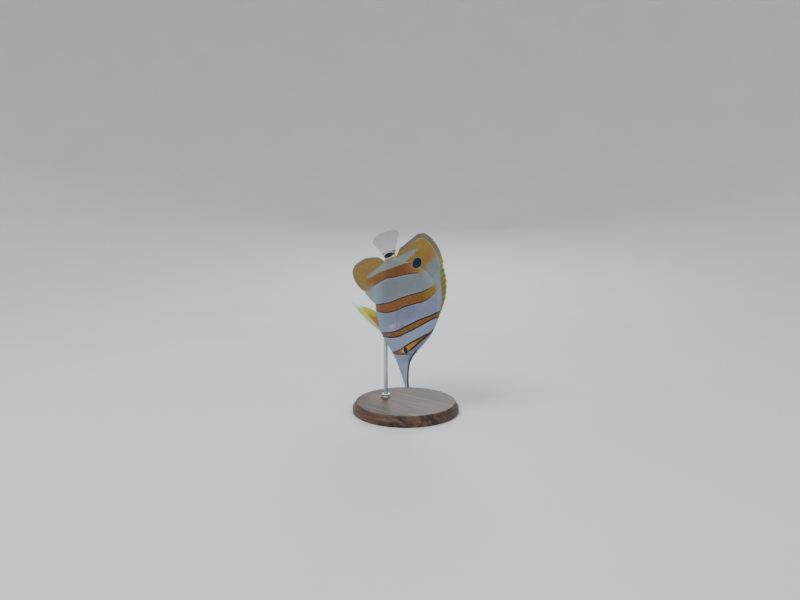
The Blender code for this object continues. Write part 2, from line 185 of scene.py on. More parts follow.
PALE_WEDGE = ([(-28, 90.0), (-23.3, 88.0), (-9.7, 89.7), (1, 89.2), (9.1, 89.4), (15.1, 90.4),
               (19.2, 92.5), (24.4, 94.9), (30, 98.8)],
              [(-28, 87.4), (-22.9, 90.5), (-13.4, 93.4), (-4.0, 96.1), (6.1, 96.0), (12.7, 96.8),
               (18.4, 97.2), (23.4, 98.0), (30, 96.0)])
OCELLUS = (87.0, 25.8)
OCELLUS_RADIUS = 3.95
OCELLUS_RING = 4.7
TAIL_SPOT = (99.6, 0.5)
TAIL_SPOT_RADII = (1.8, 4.7)
TAIL_RING_RADII = (2.9, 6.0)
# painted highlight: centre of a pearly glint of light low on the flank
FLANK_GLINT_AT = (45.7, -0.6)
BACK_STRIP = [(44.0, 35.2), (50.1, 39.6), (56.3, 42.2), (62.4, 43.2), (68.8, 43.5), (75.7, 44.3),
              (84, 44.6)]
LINE_REACH = 110.0  # beyond every value of the lines above

# Colours, linear
SILVER_FRONT = (0.20, 0.23, 0.34, 1)
SILVER = (0.15, 0.17, 0.25, 1)
SILVER_GREEN = (0.135, 0.158, 0.172, 1)
BELLY = (0.22, 0.26, 0.32, 1)
HALO = (0.25, 0.28, 0.33, 1)
# painted highlight: colour of the pearly glint on the lower flank
FLANK_GLINT = (0.25, 0.37, 0.40, 1)
COPPER = (0.13, 0.050, 0.010, 1)
COPPER_BRIGHT = (0.20, 0.080, 0.016, 1)
ORANGE = (0.34, 0.145, 0.020, 1)
OLIVE_BROWN = (0.13, 0.085, 0.025, 1)
RUST = (0.100, 0.034, 0.014, 1)
OCHRE = (0.19, 0.125, 0.014, 1)
OCHRE_DEEP = (0.20, 0.105, 0.012, 1)
WEDGE = (0.18, 0.21, 0.20, 1)
BAR_EDGE = (0.011, 0.008, 0.008, 1)
OCELLUS_BLACK = (0.002, 0.005, 0.016, 1)
OCELLUS_BLUE = (0.11, 0.14, 0.155, 1)
TAIL_RING = (0.33, 0.36, 0.28, 1)
RIDGE_BROWN = (0.07, 0.036, 0.014, 1)
MARGIN = (0.10, 0.095, 0.065, 1)
MARGIN_TAN = (0.15, 0.125, 0.075, 1)
LIGHT_LINE = (0.27, 0.25, 0.20, 1)
OLIVE = (0.21, 0.17, 0.025, 1)
BONE = (0.40, 0.35, 0.20, 1)
SPINE_TIP = (0.52, 0.44, 0.42, 1)
CLEAR = (0.13, 0.15, 0.18, 1)
CLEAR_RAY = (0.22, 0.22, 0.19, 1)
LIME = (0.38, 0.55, 0.06, 1)
PALE_LIME = (0.32, 0.33, 0.17, 1)
LEMON = (0.38, 0.34, 0.012, 1)
AMBER = (0.24, 0.115, 0.006, 1)
PEARL = (0.60, 0.66, 0.76, 1)
IRIS_COPPER = (0.20, 0.09, 0.03, 1)
IRIS_ROSE = (0.42, 0.13, 0.06, 1)
# painted highlight: the bright colour of light caught on the iris
IRIS_GLINT = (0.95, 0.55, 0.42, 1)
PUPIL = (0.003, 0.003, 0.005, 1)
WOOD_DARK = (0.020, 0.010, 0.006, 1)
WOOD_LIGHT = (0.105, 0.052, 0.028, 1)
WOOD_PORE = (0.010, 0.006, 0.004, 1)
STEEL_DARK = (0.46, 0.47, 0.49, 1)
STEEL_LIGHT = (0.56, 0.57, 0.59, 1)
FLOOR_DARK = (0.60, 0.61, 0.62, 1)
FLOOR_LIGHT = (0.66, 0.67, 0.68, 1)


def smooth_curve(knots):
    """A smooth function through the knots that never swings past them."""
    x, y = np.array(knots, float).T
    secant = np.diff(y) / np.diff(x)
    before, after = secant[:-1], secant[1:]
    total = np.where(before * after > 0, before + after, 1)
    inner = np.where(before * after > 0, 2 * before * after / total, 0)
    slope = np.concatenate([secant[:1], inner, secant[-1:]])

    def value(at):
        at = np.clip(at, x[0], x[-1])
        i = np.clip(np.searchsorted(x, at, side="right") - 1, 0, len(x) - 2)
        width = x[i + 1] - x[i]
        t = (at - x[i]) / width
        return ((2 * t**3 - 3 * t**2 + 1) * y[i] + (t**3 - 2 * t**2 + t) * width * slope[i]
                + (3 * t**2 - 2 * t**3) * y[i + 1] + (t**3 - t**2) * width * slope[i + 1])

    return value


back = smooth_curve(BACK)
keel = smooth_curve(KEEL)
thickness = smooth_curve(HALF_THICKNESS)
edge_thickness = smooth_curve(EDGE_HALF_THICKNESS)
sharpness = smooth_curve(SECTION_SHARPNESS)
gill_edge = smooth_curve(GILL_EDGE)


def height_at(s, level):
    return keel(s) + (back(s) - keel(s)) * (level + 1) / 2


def level_at(s, height):
    return 2 * (height - keel(s)) / (back(s) - keel(s)) - 1


def half_thickness(s, level):
    reach = np.where(level > WIDEST_AT, 1 - WIDEST_AT, 1 + WIDEST_AT)
    off = np.minimum(abs(level - WIDEST_AT) / reach, 1.0)
    edge = edge_thickness(s)
    return edge + (thickness(s) - edge) * (1 - off**2) ** sharpness(s)


def rounded_half(s, level):
    """Half the body's thickness with its back and its keel rounded off."""
    power = np.clip((back(s) - keel(s)) / 2 / edge_thickness(s), 3, 60)
    return half_thickness(s, level) * np.sqrt(np.maximum(1 - abs(level) ** power, 0))


def ease(value, low, high):
    """0 at low and 1 at high, smooth between them; low may be the larger."""
    t = np.clip((value - low) / (high - low), 0, 1)
    return t * t * (3 - 2 * t)


def bump(value, width):
    return np.exp(-((value / width) ** 2))


def path_through(points):
    """A smooth path through the points, as a function from 0 to 1 of the distance along it."""
    points = np.array(points, float)
    steps = np.linalg.norm(np.diff(points, axis=0), axis=1)
    along = np.concatenate([[0], np.cumsum(steps)]) / steps.sum()
    axes = [smooth_curve(np.column_stack([along, axis])) for axis in points.T]
    return lambda share: np.stack([axis(share) for axis in axes], axis=-1)


def edge_run(edge, start, end):
    """Points along the back or the keel, as a function from 0 to 1."""
    def point(share):
        s = start + (end - start) * share
        return np.stack([s, edge(s)], axis=-1)

    return point


def straight(start, end):
    """A straight line, as a function from 0 to 1 of the distance along it."""
    start, end = np.array(start), np.array(end)
    return lambda share: start + (end - start) * np.asarray(share)[..., None]


def unit(vectors):
    return vectors / np.maximum(np.linalg.norm(vectors, axis=-1, keepdims=True), 1e-9)


def distance_to(path, s, h):
    """Distance in the side view from each place to a path through the given points."""
    nearest = np.full(np.shape(s), 1e9)
    for x, z in path_through(path)(np.linspace(0, 1, 90)):
        nearest = np.minimum(nearest, (s - x) ** 2 + (h - z) ** 2)
    return np.sqrt(nearest)


def gill_opening(level):
    """1 where the gill cover stands free, fading to 0 at its two ends."""
    return ease(level, 0.42, 0.24) * ease(level, -0.97, -0.88)


def relief(s, h, level):
    """How far the living surface stands off the solids' own, bar the eye, nostrils and mouth."""
    ahead = s - gill_edge(level)
    cover = 0.34 * ease(ahead, -3.6, -0.1) - 0.10 * bump(ahead + 1.3, 0.5)
    behind = -0.30 * bump(ahead, 0.55)
    lift = gill_opening(level) * np.where(ahead <= 0, cover, behind) - SKIN_INSET
    lift = lift - 0.13 * bump(distance_to(PREOPERCLE, s, h), 0.26)
    lift = lift + 0.09 * bump(distance_to(PREOPERCLE, s + 0.7, h), 0.5)
    lift = lift - 0.06 * bump(distance_to(OPERCLE_SEAM, s, h), 0.25)
    lift = lift + 0.12 * bump(s - 30.5, 2.2) * bump(h + 1.5, 3.0)
    lift = lift + 0.035 * bump(distance_to(LATERAL_LINE, s, h), 0.40)
    root_s, root_h = PECTORAL_ROOT
    return lift + 0.32 * bump(s - root_s, 1.0) * bump(h - root_h, 2.3)


def surface_normals(points):
    """Unit normals of a grid of points that is closed along its second axis."""
    across = (np.roll(points, -1, axis=1) - np.roll(points, 1, axis=1)) / 2
    return unit(np.cross(np.gradient(points, axis=0), across))


def eye_axes(side):
    """Centre of the eye and the matrix of its own directions, side 1 right and -1 left."""
    s, h = EYE_CENTRE
    flank = float(half_thickness(s, level_at(s, h)))
    turn = np.array(Euler((side * EYE_UP, 0, side * EYE_FORWARD)).to_matrix())
    return np.array([s, side * (flank - EYE_SINK), h]), turn


def about_eye(points, side):
    """The eye's axis, with each point's distance along it and away from it."""
    centre, turn = eye_axes(side)
    axis = turn @ np.array([0, side, 0])
    offset = points - centre
    out = offset @ axis
    return axis, out, np.linalg.norm(offset - out[..., None] * axis, axis=-1)


def open_sockets(points):
    """Sinks the skin under each eyeball and raises a soft rim round it."""
    for side, _ in SIDES:
        axis, out, radius = about_eye(points, side)
        near = (radius < 6) & (out > -1.5)
        share = np.minimum(radius / EYE_RADII[0], 0.99)
        ball = EYE_RADII[1] * np.sqrt(1 - share**2)
        inside = ease(radius, EYE_OPENING + 0.22, EYE_OPENING - 0.12)
        rim = 0.20 * bump(radius - EYE_OPENING - 0.42, 0.34)
        fold = -0.07 * bump(radius - EYE_OPENING - 1.05, 0.22)
        target = (1 - inside) * (out + rim + fold) + inside * (ball - 0.30)
        points = points + np.where(near, target - out, 0)[..., None] * axis
    return points


def face_detail(s, h, side_half):
    """Mouth line, lips and nostrils, as a lift off the skin at each place of the snout and face."""
    mouth = h - MOUTH_HEIGHT + 0.03 * s
    gape = ease(s, MOUTH_CORNER + 0.3, MOUTH_CORNER - 0.6)
    lift = -0.20 * bump(mouth, 0.11) * gape
    lift = lift + 0.13 * bump(abs(mouth) - 0.42, 0.26) * ease(s, 2.6, 0.9)
    lift = lift - 0.06 * bump(s - 2.4 - 0.6 * abs(mouth), 0.22) * ease(side_half, 0.2, 0.6)
    lift = lift - 0.05 * bump(h - 0.1 * s - 0.35, 0.16) * ease(s, 3.2, 4.6) * ease(s, 15, 12)
    for x, z in NOSTRILS:
        radius = np.hypot(s - x, h - z)
        lift = lift - 0.40 * ease(radius, NOSTRIL_RADIUS + 0.06, 0.12)
        lift = lift + 0.10 * bump(radius - NOSTRIL_RADIUS - 0.16, 0.12)
    return lift


def spread(count, density):
    """count + 1 values from 0 to 1, closest where the density is highest."""
    fine = np.linspace(0, 1, 2001)
    total = np.concatenate([[0], np.cumsum(density((fine[1:] + fine[:-1]) / 2))])
    return np.interp(np.linspace(0, total[-1], count + 1), total, fine)


def skin_stations(level):
    """The s of every ring of the skin at each level; the gill edge gets a ring on either side."""
    nose = spread(62, lambda x: 1 + 9 * bump(x, 0.07) + 2 * bump(x - 0.2, 0.1))
    nose = SKIN_START + (SNOUT_END - SKIN_START) * nose
    face = spread(128, lambda x: 1 + 1.9 * bump(x - 0.42, 0.26) + 2.5 * bump(x - 1, 0.07))[1:]
    flank = spread(104, lambda x: 1 + 5 * bump(x, 0.025) + 0.5 * bump(x - 1, 0.2))
    stalk = np.linspace(STALK_START, BODY_END, 15)[1:]
    gill = gill_edge(level)[None, :]
    behind = gill + 0.05
    return np.concatenate([
        np.repeat(nose[:, None], len(level), axis=1),
        SNOUT_END + (gill - SNOUT_END) * face[:, None],
        behind + (STALK_START - behind) * flank[:, None],
        np.repeat(stalk[:, None], len(level), axis=1),
    ])


def skin_levels(count):
    """Levels from keel to back, close together at both edges and across the eye."""
    def density(x):
        level = 2 * x - 1
        return 1 / np.sqrt(1.0005 - level**2) + 2.2 * bump(level - 0.26, 0.26)

    return 2 * spread(count, density) - 1


def skin_points(count=128):
    """Rings of the whole skin, from the snout tip to the tail, right side up and left side down."""
    half = skin_levels(count)
    level = np.concatenate([half, half[-2:0:-1]])
    side = np.where(np.arange(len(level)) <= count, 1.0, -1.0)[None, :]
    s = skin_stations(level)
    level = np.repeat(level[None, :], len(s), axis=0)
    width, height = rounded_half(s, level), height_at(s, level)
    nose = np.sqrt(np.clip(1 - (1 - np.clip(s / 1.5, 0, 1)) ** 2, 0.0004, 1))
    height = MOUTH_HEIGHT + (height - MOUTH_HEIGHT) * nose
    points = np.stack([s, side * width * nose, height], axis=-1)
    outward = surface_normals(points)
    flank = np.sign((outward[..., 1] * points[..., 1]).sum())
    lift = relief(s, height, level) + face_detail(s, height, width)
    lift = np.where(s < 1.5, np.maximum(lift, -0.24), lift)
    return open_sockets(points + outward * flank * lift[..., None])


def grid_faces(rows, columns, closed=False):
    """Quads over a grid of points; closed joins its last column to the first."""
    row, column = np.meshgrid(np.arange(rows - 1), np.arange(columns if closed else columns - 1),
                              indexing="ij")
    following = (column + 1) % columns
    corners = (row * columns + column, (row + 1) * columns + column,
               (row + 1) * columns + following, row * columns + following)
    return np.stack(corners, axis=-1).reshape(-1, 4)


def fan_faces(ring, centre):
    return [(a, b, centre) for a, b in zip(ring, np.roll(ring, -1))]


def end_fans(rows, columns):
    """Fans over both ends of a closed grid, round two points that come after its own."""
    first, count = np.arange(columns), rows * columns
    return fan_faces(first, count) + fan_faces((first + count - columns)[::-1], count + 1)


def ring_points(profile, steps):
    """Rings of points round an upright axis, from an array of (radius, height) pairs."""
    around = np.linspace(0, 2 * np.pi, steps, endpoint=False)
    radius, height = profile[:, 0, None], profile[:, 1, None]
    return np.stack([radius * np.cos(around), radius * np.sin(around),
                     height + 0 * around], axis=-1).reshape(-1, 3)


def faces_inward(points, quads):
    """Whether the quads of a closed shape look inward, from the sign of its volume."""
    a, b, c, d = (points[quads[:, k]] for k in range(4))
    return (np.cross(b - a, c - a) * a).sum() + (np.cross(c - a, d - a) * a).sum() < 0


def outward(points, quads):
    return quads[:, ::-1] if faces_inward(points, quads) else quads


def linked(name, data):
    """A new object of the scene."""
    obj = bpy.data.objects.new(name, data)
    bpy.context.scene.collection.objects.link(obj)
    return obj


def new_piece(name, points, quads, material, fans=(), attributes=None, on_fish=True):
    """A mesh object, faces turned outward, from points in metres or, on the fish, in its own measure.

    A piece of the fish keeps each point's s, w and h as the attribute "place", for its material.
    """
    points, quads = np.asarray(points, float), np.asarray(quads)
    if faces_inward(points, quads):
        quads = quads[:, ::-1]
        fans = [face[::-1] for face in fans]
    mesh = bpy.data.meshes.new(name)
    pose = np.array(pose_matrix())
    world = points * UNIT @ pose[:3, :3].T + pose[:3, 3] if on_fish else points
    mesh.from_pydata(world, [], quads.tolist() + [list(face) for face in fans])
    mesh.shade_smooth()
    mesh.materials.append(material)
    if on_fish:
        place = mesh.attributes.new("place", "FLOAT_VECTOR", "POINT")
        place.data.foreach_set("vector", points.astype(np.float32).ravel())
    for key, values in (attributes or {}).items():
        made = mesh.attributes.new(key, "FLOAT", "POINT")
        made.data.foreach_set("value", np.asarray(values, np.float32).ravel())
    if mesh.validate(verbose=True):
        raise ValueError(f"{name} had faults in its mesh")
    return linked(name, mesh)


def pose_matrix():
    """Stands the level fish on its nose: tail up, back to +X, then leant and banked."""
    tail = Vector((-math.sin(LEAN) * math.cos(BANK), math.sin(BANK), math.cos(LEAN) * math.cos(BANK)))
    back_up = Vector((math.cos(LEAN), 0, math.sin(LEAN)))
    turn = Matrix((tail, back_up.cross(tail), back_up)).transposed().to_4x4()
    return Matrix.Translation(SNOUT_TIP) @ turn


def keep(obj, slot, *nodes):
    """Rides the piece on the one body and hides the solids that it stands for; its slot is not used."""
    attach(obj, "root")
    if nodes:
        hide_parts(*nodes)
    return obj


def build_skin(material):
    points = skin_points()
    rows, columns = points.shape[:2]
    flat = points.reshape(-1, 3)
    ends = np.array([flat[:columns].mean(0) - (0.04, 0, 0), flat[-columns:].mean(0)])
    quads = grid_faces(rows, columns, closed=True)
    skin = new_piece("skin", np.vstack([flat, ends]), quads, material, end_fans(rows, columns))
    return keep(skin, "flesh", "snout", "lower_jaw", "head", "trunk", "tail_stalk")


class Sheet:
    """A surface known at an even grid of places (u, v), and read smoothly between them."""

    def __init__(self, u, v, points, inside):
        self.u, self.v, self.points = u, v, points
        normal = unit(np.cross(np.gradient(points, axis=0), np.gradient(points, axis=1)))
        self.normals = normal * np.where((normal[..., 1] * inside).sum() < 0, -1.0, 1.0)

    def read(self, table, u, v):
        x = np.clip((u - self.u[0]) / (self.u[1] - self.u[0]), 0, len(self.u) - 1.001)
        y = np.clip((v - self.v[0]) / (self.v[1] - self.v[0]), 0, len(self.v) - 1.001)
        i, j = x.astype(int), y.astype(int)
        fx, fy = (x - i)[..., None], (y - j)[..., None]
        low = table[i, j] * (1 - fy) + table[i, j + 1] * fy
        high = table[i + 1, j] * (1 - fy) + table[i + 1, j + 1] * fy
        return low * (1 - fx) + high * fx

    def at(self, u, v, lift):
        return self.read(self.points, u, v) + self.read(self.normals, u, v) * lift[..., None]


def body_unwrap(side, step=0.2):
    """One flank as a sheet over s and the distance round the body from its widest line.

    Also gives the level at each place, and the range of that distance at each s.
    """
    s_axis = np.arange(SNOUT_END, BODY_END, step)
    round_axis = np.arange(-34, 46, step)
    fine = -np.cos(np.linspace(0, np.pi, 301))
    levels, limits = [], []
    for s in s_axis:
        width, height = rounded_half(s, fine), height_at(s, fine)
        distance = np.concatenate([[0], np.cumsum(np.hypot(np.diff(width), np.diff(height)))])
        distance = distance - np.interp(WIDEST_AT, fine, distance)
        levels.append(np.interp(round_axis, distance, fine))
        limits.append((distance[0], distance[-1]))
    level = np.array(levels)
    s = np.repeat(s_axis[:, None], len(round_axis), axis=1)
    height = height_at(s, level)
    places = np.stack([s, side * rounded_half(s, level), height], axis=-1)
    sheet = Sheet(s_axis, round_axis, places, np.full(s.shape, float(side)))
    sheet.points = places + sheet.normals * relief(s, height, level)[..., None]
    return sheet, level[..., None], np.array(limits)


def brick_roots(starts, row_pitch, low, high):
    """Roots in staggered columns: one column at each start, its rows row_pitch apart."""
    roots = []
    for k, u in enumerate(starts):
        pitch = row_pitch(u)
        rows = np.arange(math.floor(low(u) / pitch) - 1, math.ceil(high(u) / pitch) + 2)
        v = (rows + 0.5 * (k % 2)) * pitch
        v = v[(v > low(u)) & (v < high(u))]
        roots.append(np.column_stack([np.full(len(v), u), v]))
    return np.concatenate(roots)


def scale_shape():
    """One scale as a grid from root to tip: its places along, across and up, from 0 or -1 to 1."""
    along, across = np.meshgrid([0, 0.36, 0.66, 0.87, 1.0], [-1, -0.42, 0.42, 1], indexing="ij")
    rounded = along * (1 - 0.22 * across**2 * along**2)
    narrowed = across * (1 - 0.08 * along**3)
    crown = 0.20 * (1 - across**2) * along
    return rounded, narrowed, along + crown


def flat_map(s, across):
    """The place of each scale's root on OFBake."""
    return np.column_stack([s / MAP_LENGTH, (across - MAP_LOWEST) / MAP_HEIGHT])


def build_coat(name, sheet, roots, length, half_width, size, material, flat_places, seed):
    """Overlapping scales over a sheet, their tips towards rising u, as one joined mesh."""
    along, across, height = scale_shape()
    count, rows, columns = len(roots), *along.shape
    draw = np.random.default_rng(seed)
    tone = draw.uniform(0, 1, count)
    sway = draw.normal(0, 0.035, count)[:, None, None]
    size = size[:, None, None]
    stretch = length[:, None, None] * draw.uniform(0.95, 1.05, count)[:, None, None]
    u = roots[:, 0, None, None] + (along - ROOT_SHARE) * stretch
    v = roots[:, 1, None, None] + across * half_width[:, None, None] + sway * along * stretch
    lift = (-SCALE_ROOT_SINK + (SCALE_ROOT_SINK + SCALE_TIP_LIFT) * height) * size
    top = sheet.at(u, v, lift)
    under = sheet.at(u, v, lift - SCALE_THICKNESS * size)
    cells = rows * columns
    points = np.concatenate([top.reshape(count, cells, 3), under.reshape(count, cells, 3)], axis=1)
    one = closed_sheet_faces(rows, columns)
    quads = (np.arange(count)[:, None, None] * 2 * cells + one[None]).reshape(-1, 4)
    flat = points.reshape(-1, 3)
    spread_along = np.tile(np.concatenate([along.ravel()] * 2), count)
    coat = new_piece(name, flat, quads, material,
                     attributes={"tone": np.repeat(tone, 2 * cells), "tip": spread_along})
    mesh = coat.data
    mesh.set_sharp_from_angle(angle=math.radians(60))
    patch = np.stack([along - 0.5, across / 2], axis=-1).reshape(-1, 2) * MAP_PATCH
    place = flat_places[:, None, :] + np.concatenate([patch, patch])[None]
    corner = np.empty(len(mesh.loops), np.int32)
    mesh.loops.foreach_get("vertex_index", corner)
    layer = mesh.uv_layers.new(name="OFBake")
    layer.data.foreach_set("uv", place.reshape(-1, 2)[corner].astype(np.float32).ravel())
    return keep(coat, "flesh")


def closed_sheet_faces(rows, columns):
    """Faces of a thin plate: a grid, the same grid on its other side, and the rim between them."""
    count = rows * columns
    face = grid_faces(rows, columns)
    grid = np.arange(count).reshape(rows, columns)
    rim = np.concatenate([grid[0], grid[1:, -1], grid[-1, -2::-1], grid[-2:0:-1, 0]])
    following = np.roll(rim, -1)
    band = np.stack([rim, following, following + count, rim + count], axis=-1)
    return np.concatenate([face, face[:, ::-1] + count, band])


def flank_coat(side, word, material):
    """The scales of one side: small on the face and the stalk, largest on the flank."""
    sheet, level_table, limits = body_unwrap(side)
    pitch = smooth_curve(SCALE_PITCH)
    starts = [COAT_START]
    while starts[-1] < BODY_END - 1.6:
        starts.append(starts[-1] + float(pitch(starts[-1])))

    def bare(u, run):
        """The strip left bare along the edge, wider where a fin's shoulder covers it."""
        return 0.7 + 1.9 * float(ease(u, run[0], run[0] + 6) * ease(u, run[1] - 1, run[1] - 5))

    def low(u):
        return float(np.interp(u, sheet.u, limits[:, 0])) + bare(u, ANAL_ROOT)

    def high(u):
        return float(np.interp(u, sheet.u, limits[:, 1])) - bare(u, DORSAL_ROOT)

    roots = brick_roots(starts, lambda u: ROW_PITCH_RATIO * float(pitch(u)), low, high)
    s, v = roots.T
    step = pitch(s)
    length = LENGTH_RATIO * step
    places = sheet.read(sheet.points, s, v)
    h = places[:, 2]
    level = sheet.read(level_table, s, v)[:, 0]
    ahead = s - gill_edge(level)
    over_gill = (ahead > (ROOT_SHARE - 1) * length - 0.12) & (ahead < ROOT_SHARE * length + 0.25)
    keep_out = (gill_opening(level) > 0.4) & over_gill
    keep_out |= about_eye(places, side)[2] < EYE_OPENING + 1.0 + 0.5 * step
    middle = s + 0.3 * length
    for x, z in NOSTRILS:
        keep_out |= np.hypot(middle - x, h - z) < NOSTRIL_CLEARANCE
    root_s, root_h = PECTORAL_ROOT
    keep_out |= (abs(middle - root_s) < 1.5) & (abs(h - root_h) < 2.7)

    head = s < gill_edge(level)
    for part, chosen in (("head", head & ~keep_out), ("flank", ~head & ~keep_out)):
        here = step[chosen]
        build_coat(f"scales_{part}_{word}", sheet, roots[chosen], LENGTH_RATIO * here,
                   HALF_WIDTH_RATIO * ROW_PITCH_RATIO * here, here / LARGEST_PITCH, material,
                   flat_map(s[chosen], v[chosen]), seed=7 + side)


def ray_crest(x, t):
    """Height of the rays across a fin, from 0 to 1, each splitting twice on its way out."""
    first = 0.17 * ease(t, 0.38, 0.66)
    second = 0.085 * ease(t, 0.72, 0.95)
    width = 0.20 - 0.10 * ease(t, 0.0, 0.6)
    crest = np.zeros(np.broadcast(x, t).shape)
    for a in (-1, 1):
        for b in (-1, 1):
            crest = np.maximum(crest, bump(x - a * first - b * second, width))
    return crest


def fin_surface(roots, tips, rays, rows=30, per_ray=12, root_half=0.8, edge_half=0.07, ridge=0.11,
                bow=0.0, sink=0.9, reach=None, shoulder=None):
    """A fin in its own plane: places (along, up), half thickness, and what its material reads.

    reach gives the share of each ray that the web follows, from the place between two rays. The two
    ends of shoulder are where along the fin its buried foot stays thin and where it is thickened to
    just under the body's skin, so that the flank runs out into the fin without a step.
    """
    share = np.linspace(0, 1, rays * per_ray + 1)
    root, tip = roots(share), tips(share)
    ray = tip - root
    length = np.linalg.norm(ray, axis=-1)
    x = (share * rays) % 1 - 0.5
    limit = reach(x) if reach else 1 - 0.006 * (2 * x) ** 2
    start = -sink / length
    t = start[:, None] + (limit - start)[:, None] * np.linspace(0, 1, rows + 1)[None, :]
    turn = np.where(ray[:, 1] < 0, 1.0, -1.0)[:, None]
    aside = np.stack([-ray[:, 1], ray[:, 0]], axis=-1) * turn * bow
    inner = np.clip(t, 0, 1)
    place = root[:, None] + ray[:, None] * t[..., None]
    place = place + aside[:, None] * np.sin(np.pi * inner)[..., None]
    crest = ray_crest(x[:, None], t)
    half = edge_half + (root_half - edge_half) * (1 - inner) ** 2.2
    half = half + ridge * crest * (1 - 0.55 * inner)
    if shoulder:
        s, h = place[:, 0].T
        gap = rounded_half(s, level_at(s, h)) - SKIN_INSET - FOOT_SINK - half[:, 0]
        foot = np.maximum(gap, 0) * ease(share, *shoulder)
        beyond = (t - start[:, None]) * length[:, None]
        half = half + foot[:, None] * np.exp(-beyond / SHOULDER_FADE)
    border = np.minimum(ease(share, 0, 0.012), ease(share, 1, 0.988))[:, None]
    half = half * (0.35 + 0.65 * border)
    edge = (limit[:, None] - t) * length[:, None]
    if reach is None:
        outline = tips(np.linspace(0, 1, 400))
        edge = np.linalg.norm(place[:, :, None] - outline, axis=-1).min(axis=-1)
    facts = {"ray": crest, "along": t, "share": np.repeat(share[:, None], rows + 1, axis=1),
             "edge": edge}
    return place, half, facts


def fin_piece(name, fin, material, slot, node, place_in_fish=None, extra=()):
    """The fin as a thin closed sheet, with any extra closed shapes, such as spines, joined in."""
    place, half, facts = fin
    rows, columns = half.shape
    faces = [np.stack([place[..., 0], side * half, place[..., 1]], axis=-1).reshape(-1, 3)
             for side in (1, -1)]
    points = np.concatenate(faces)
    quads = outward(points, closed_sheet_faces(rows, columns))
    attributes = {key: np.concatenate([values.ravel()] * 2) for key, values in facts.items()}
    for more_points, more_quads, more_facts in extra:
        quads = np.concatenate([quads, outward(more_points, more_quads) + len(points)])
        points = np.concatenate([points, more_points])
        for key in attributes:
            attributes[key] = np.concatenate([attributes[key], more_facts[key]])
    if place_in_fish is not None:
        matrix = np.array(place_in_fish)
        points = points @ matrix[:3, :3].T + matrix[:3, 3]
    piece = new_piece(name, points, quads, material, attributes=attributes)
    return keep(piece, slot, node)


def spine_shape(root, tip, share, radius=0.46, sides=12, rows=18, sink=1.2):
    """One tapered spine, gently curved back, closed at its root and its point."""
    ray = tip - root
    length = np.linalg.norm(ray)
    t = np.linspace(-sink / length, 1, rows + 1)
    across = np.array([-ray[1], ray[0]]) / length
    bow = 0.012 * length * np.sin(np.pi * np.clip(t, 0, 1))
    centre = root + ray * t[:, None] + across * bow[:, None]
    angle = np.linspace(0, 2 * np.pi, sides, endpoint=False)
    size = radius * (1 - 0.86 * np.clip(t, 0, 1) ** 1.15)
    size[0], size[-1] = size[1] * 0.4, 0.015
    points = np.stack([
        centre[:, None, 0] + size[:, None] * np.cos(angle) * across[0],
        size[:, None] * np.sin(angle) * np.ones((rows + 1, 1)),
        centre[:, None, 1] + size[:, None] * np.cos(angle) * across[1],
    ], axis=-1).reshape(-1, 3)
    quads = grid_faces(rows + 1, sides, closed=True)
    count = len(points)
    facts = {"ray": np.full(count, 2.0), "along": np.repeat(t, sides),
             "share": np.full(count, share), "edge": np.repeat((1 - t) * length, sides)}
    return points, quads, facts


def spines(roots, tips, count):
    shares = (np.arange(count) + 0.5) / count
    return [spine_shape(roots(share), tips(share), share) for share in shares]


def webbed_reach(x):
    """The membrane leaves each spine near its point and meets the next one lower down."""
    behind = np.mod(x, 1)
    return 0.96 - 0.11 * behind**0.8 + 0.015 * np.cos(2 * np.pi * behind)


def build_median_fins(soft_skin, spiny_skin, clear_skin, coat):
    edge = float(edge_thickness(70))
    spiny = ((back, DORSAL_ROOT[0], SPINY_EDGE, DORSAL_SPINES, 26, 0.22, "dorsal"),
             (keel, ANAL_ROOT[0], ANAL_SPINE_EDGE, ANAL_SPINES, 24, 0.5, "anal"))
    for outline, start, edge_knots, count, rows, thick_from, word in spiny:
        root, tips = edge_run(outline, start, FIN_SPLIT + WEB_OVERLAP), path_through(edge_knots)
        fin = fin_surface(root, tips, count, rows=rows, per_ray=16, root_half=edge, ridge=0.0,
                          sink=SHOULDER_DEPTH, reach=webbed_reach, shoulder=(0.0, thick_from))
        fin_piece(f"{word}_spines", fin, spiny_skin, "fin", f"{word}_fin_spiny",
                  extra=spines(root, tips, count))

    soft = ((back, DORSAL_ROOT[1], SOFT_DORSAL_EDGE, DORSAL_RAYS, "dorsal"),
            (keel, ANAL_ROOT[1], SOFT_ANAL_EDGE, ANAL_RAYS, "anal"))
    for outline, end, edge_knots, rays, word in soft:
        fin = fin_surface(edge_run(outline, FIN_SPLIT, end), path_through(edge_knots), rays, rows=38,
                          root_half=edge, bow=0.03, sink=SHOULDER_DEPTH, shoulder=(1.02, 0.8))
        fin_piece(f"{word}_soft", fin, soft_skin, "fin", f"{word}_fin_soft")
        for side, side_word in SIDES:
            fin_coat(f"scales_{word}_{side_word}", fin, side, coat)

    fin = fin_surface(straight((0, 4.9), (0, -4.7)), path_through(TAIL_EDGE), TAIL_RAYS, rows=32,
                      root_half=float(thickness(100)) * 0.8, edge_half=0.06, ridge=0.13, sink=1.6)
    turn = Matrix.Translation((100 + 2 * GAP, 0, 0)) @ Matrix.Rotation(TAIL_TURN, 4, "Z")
    fin_piece("tail", fin, clear_skin, "clear_fin", "tail_fin", turn)


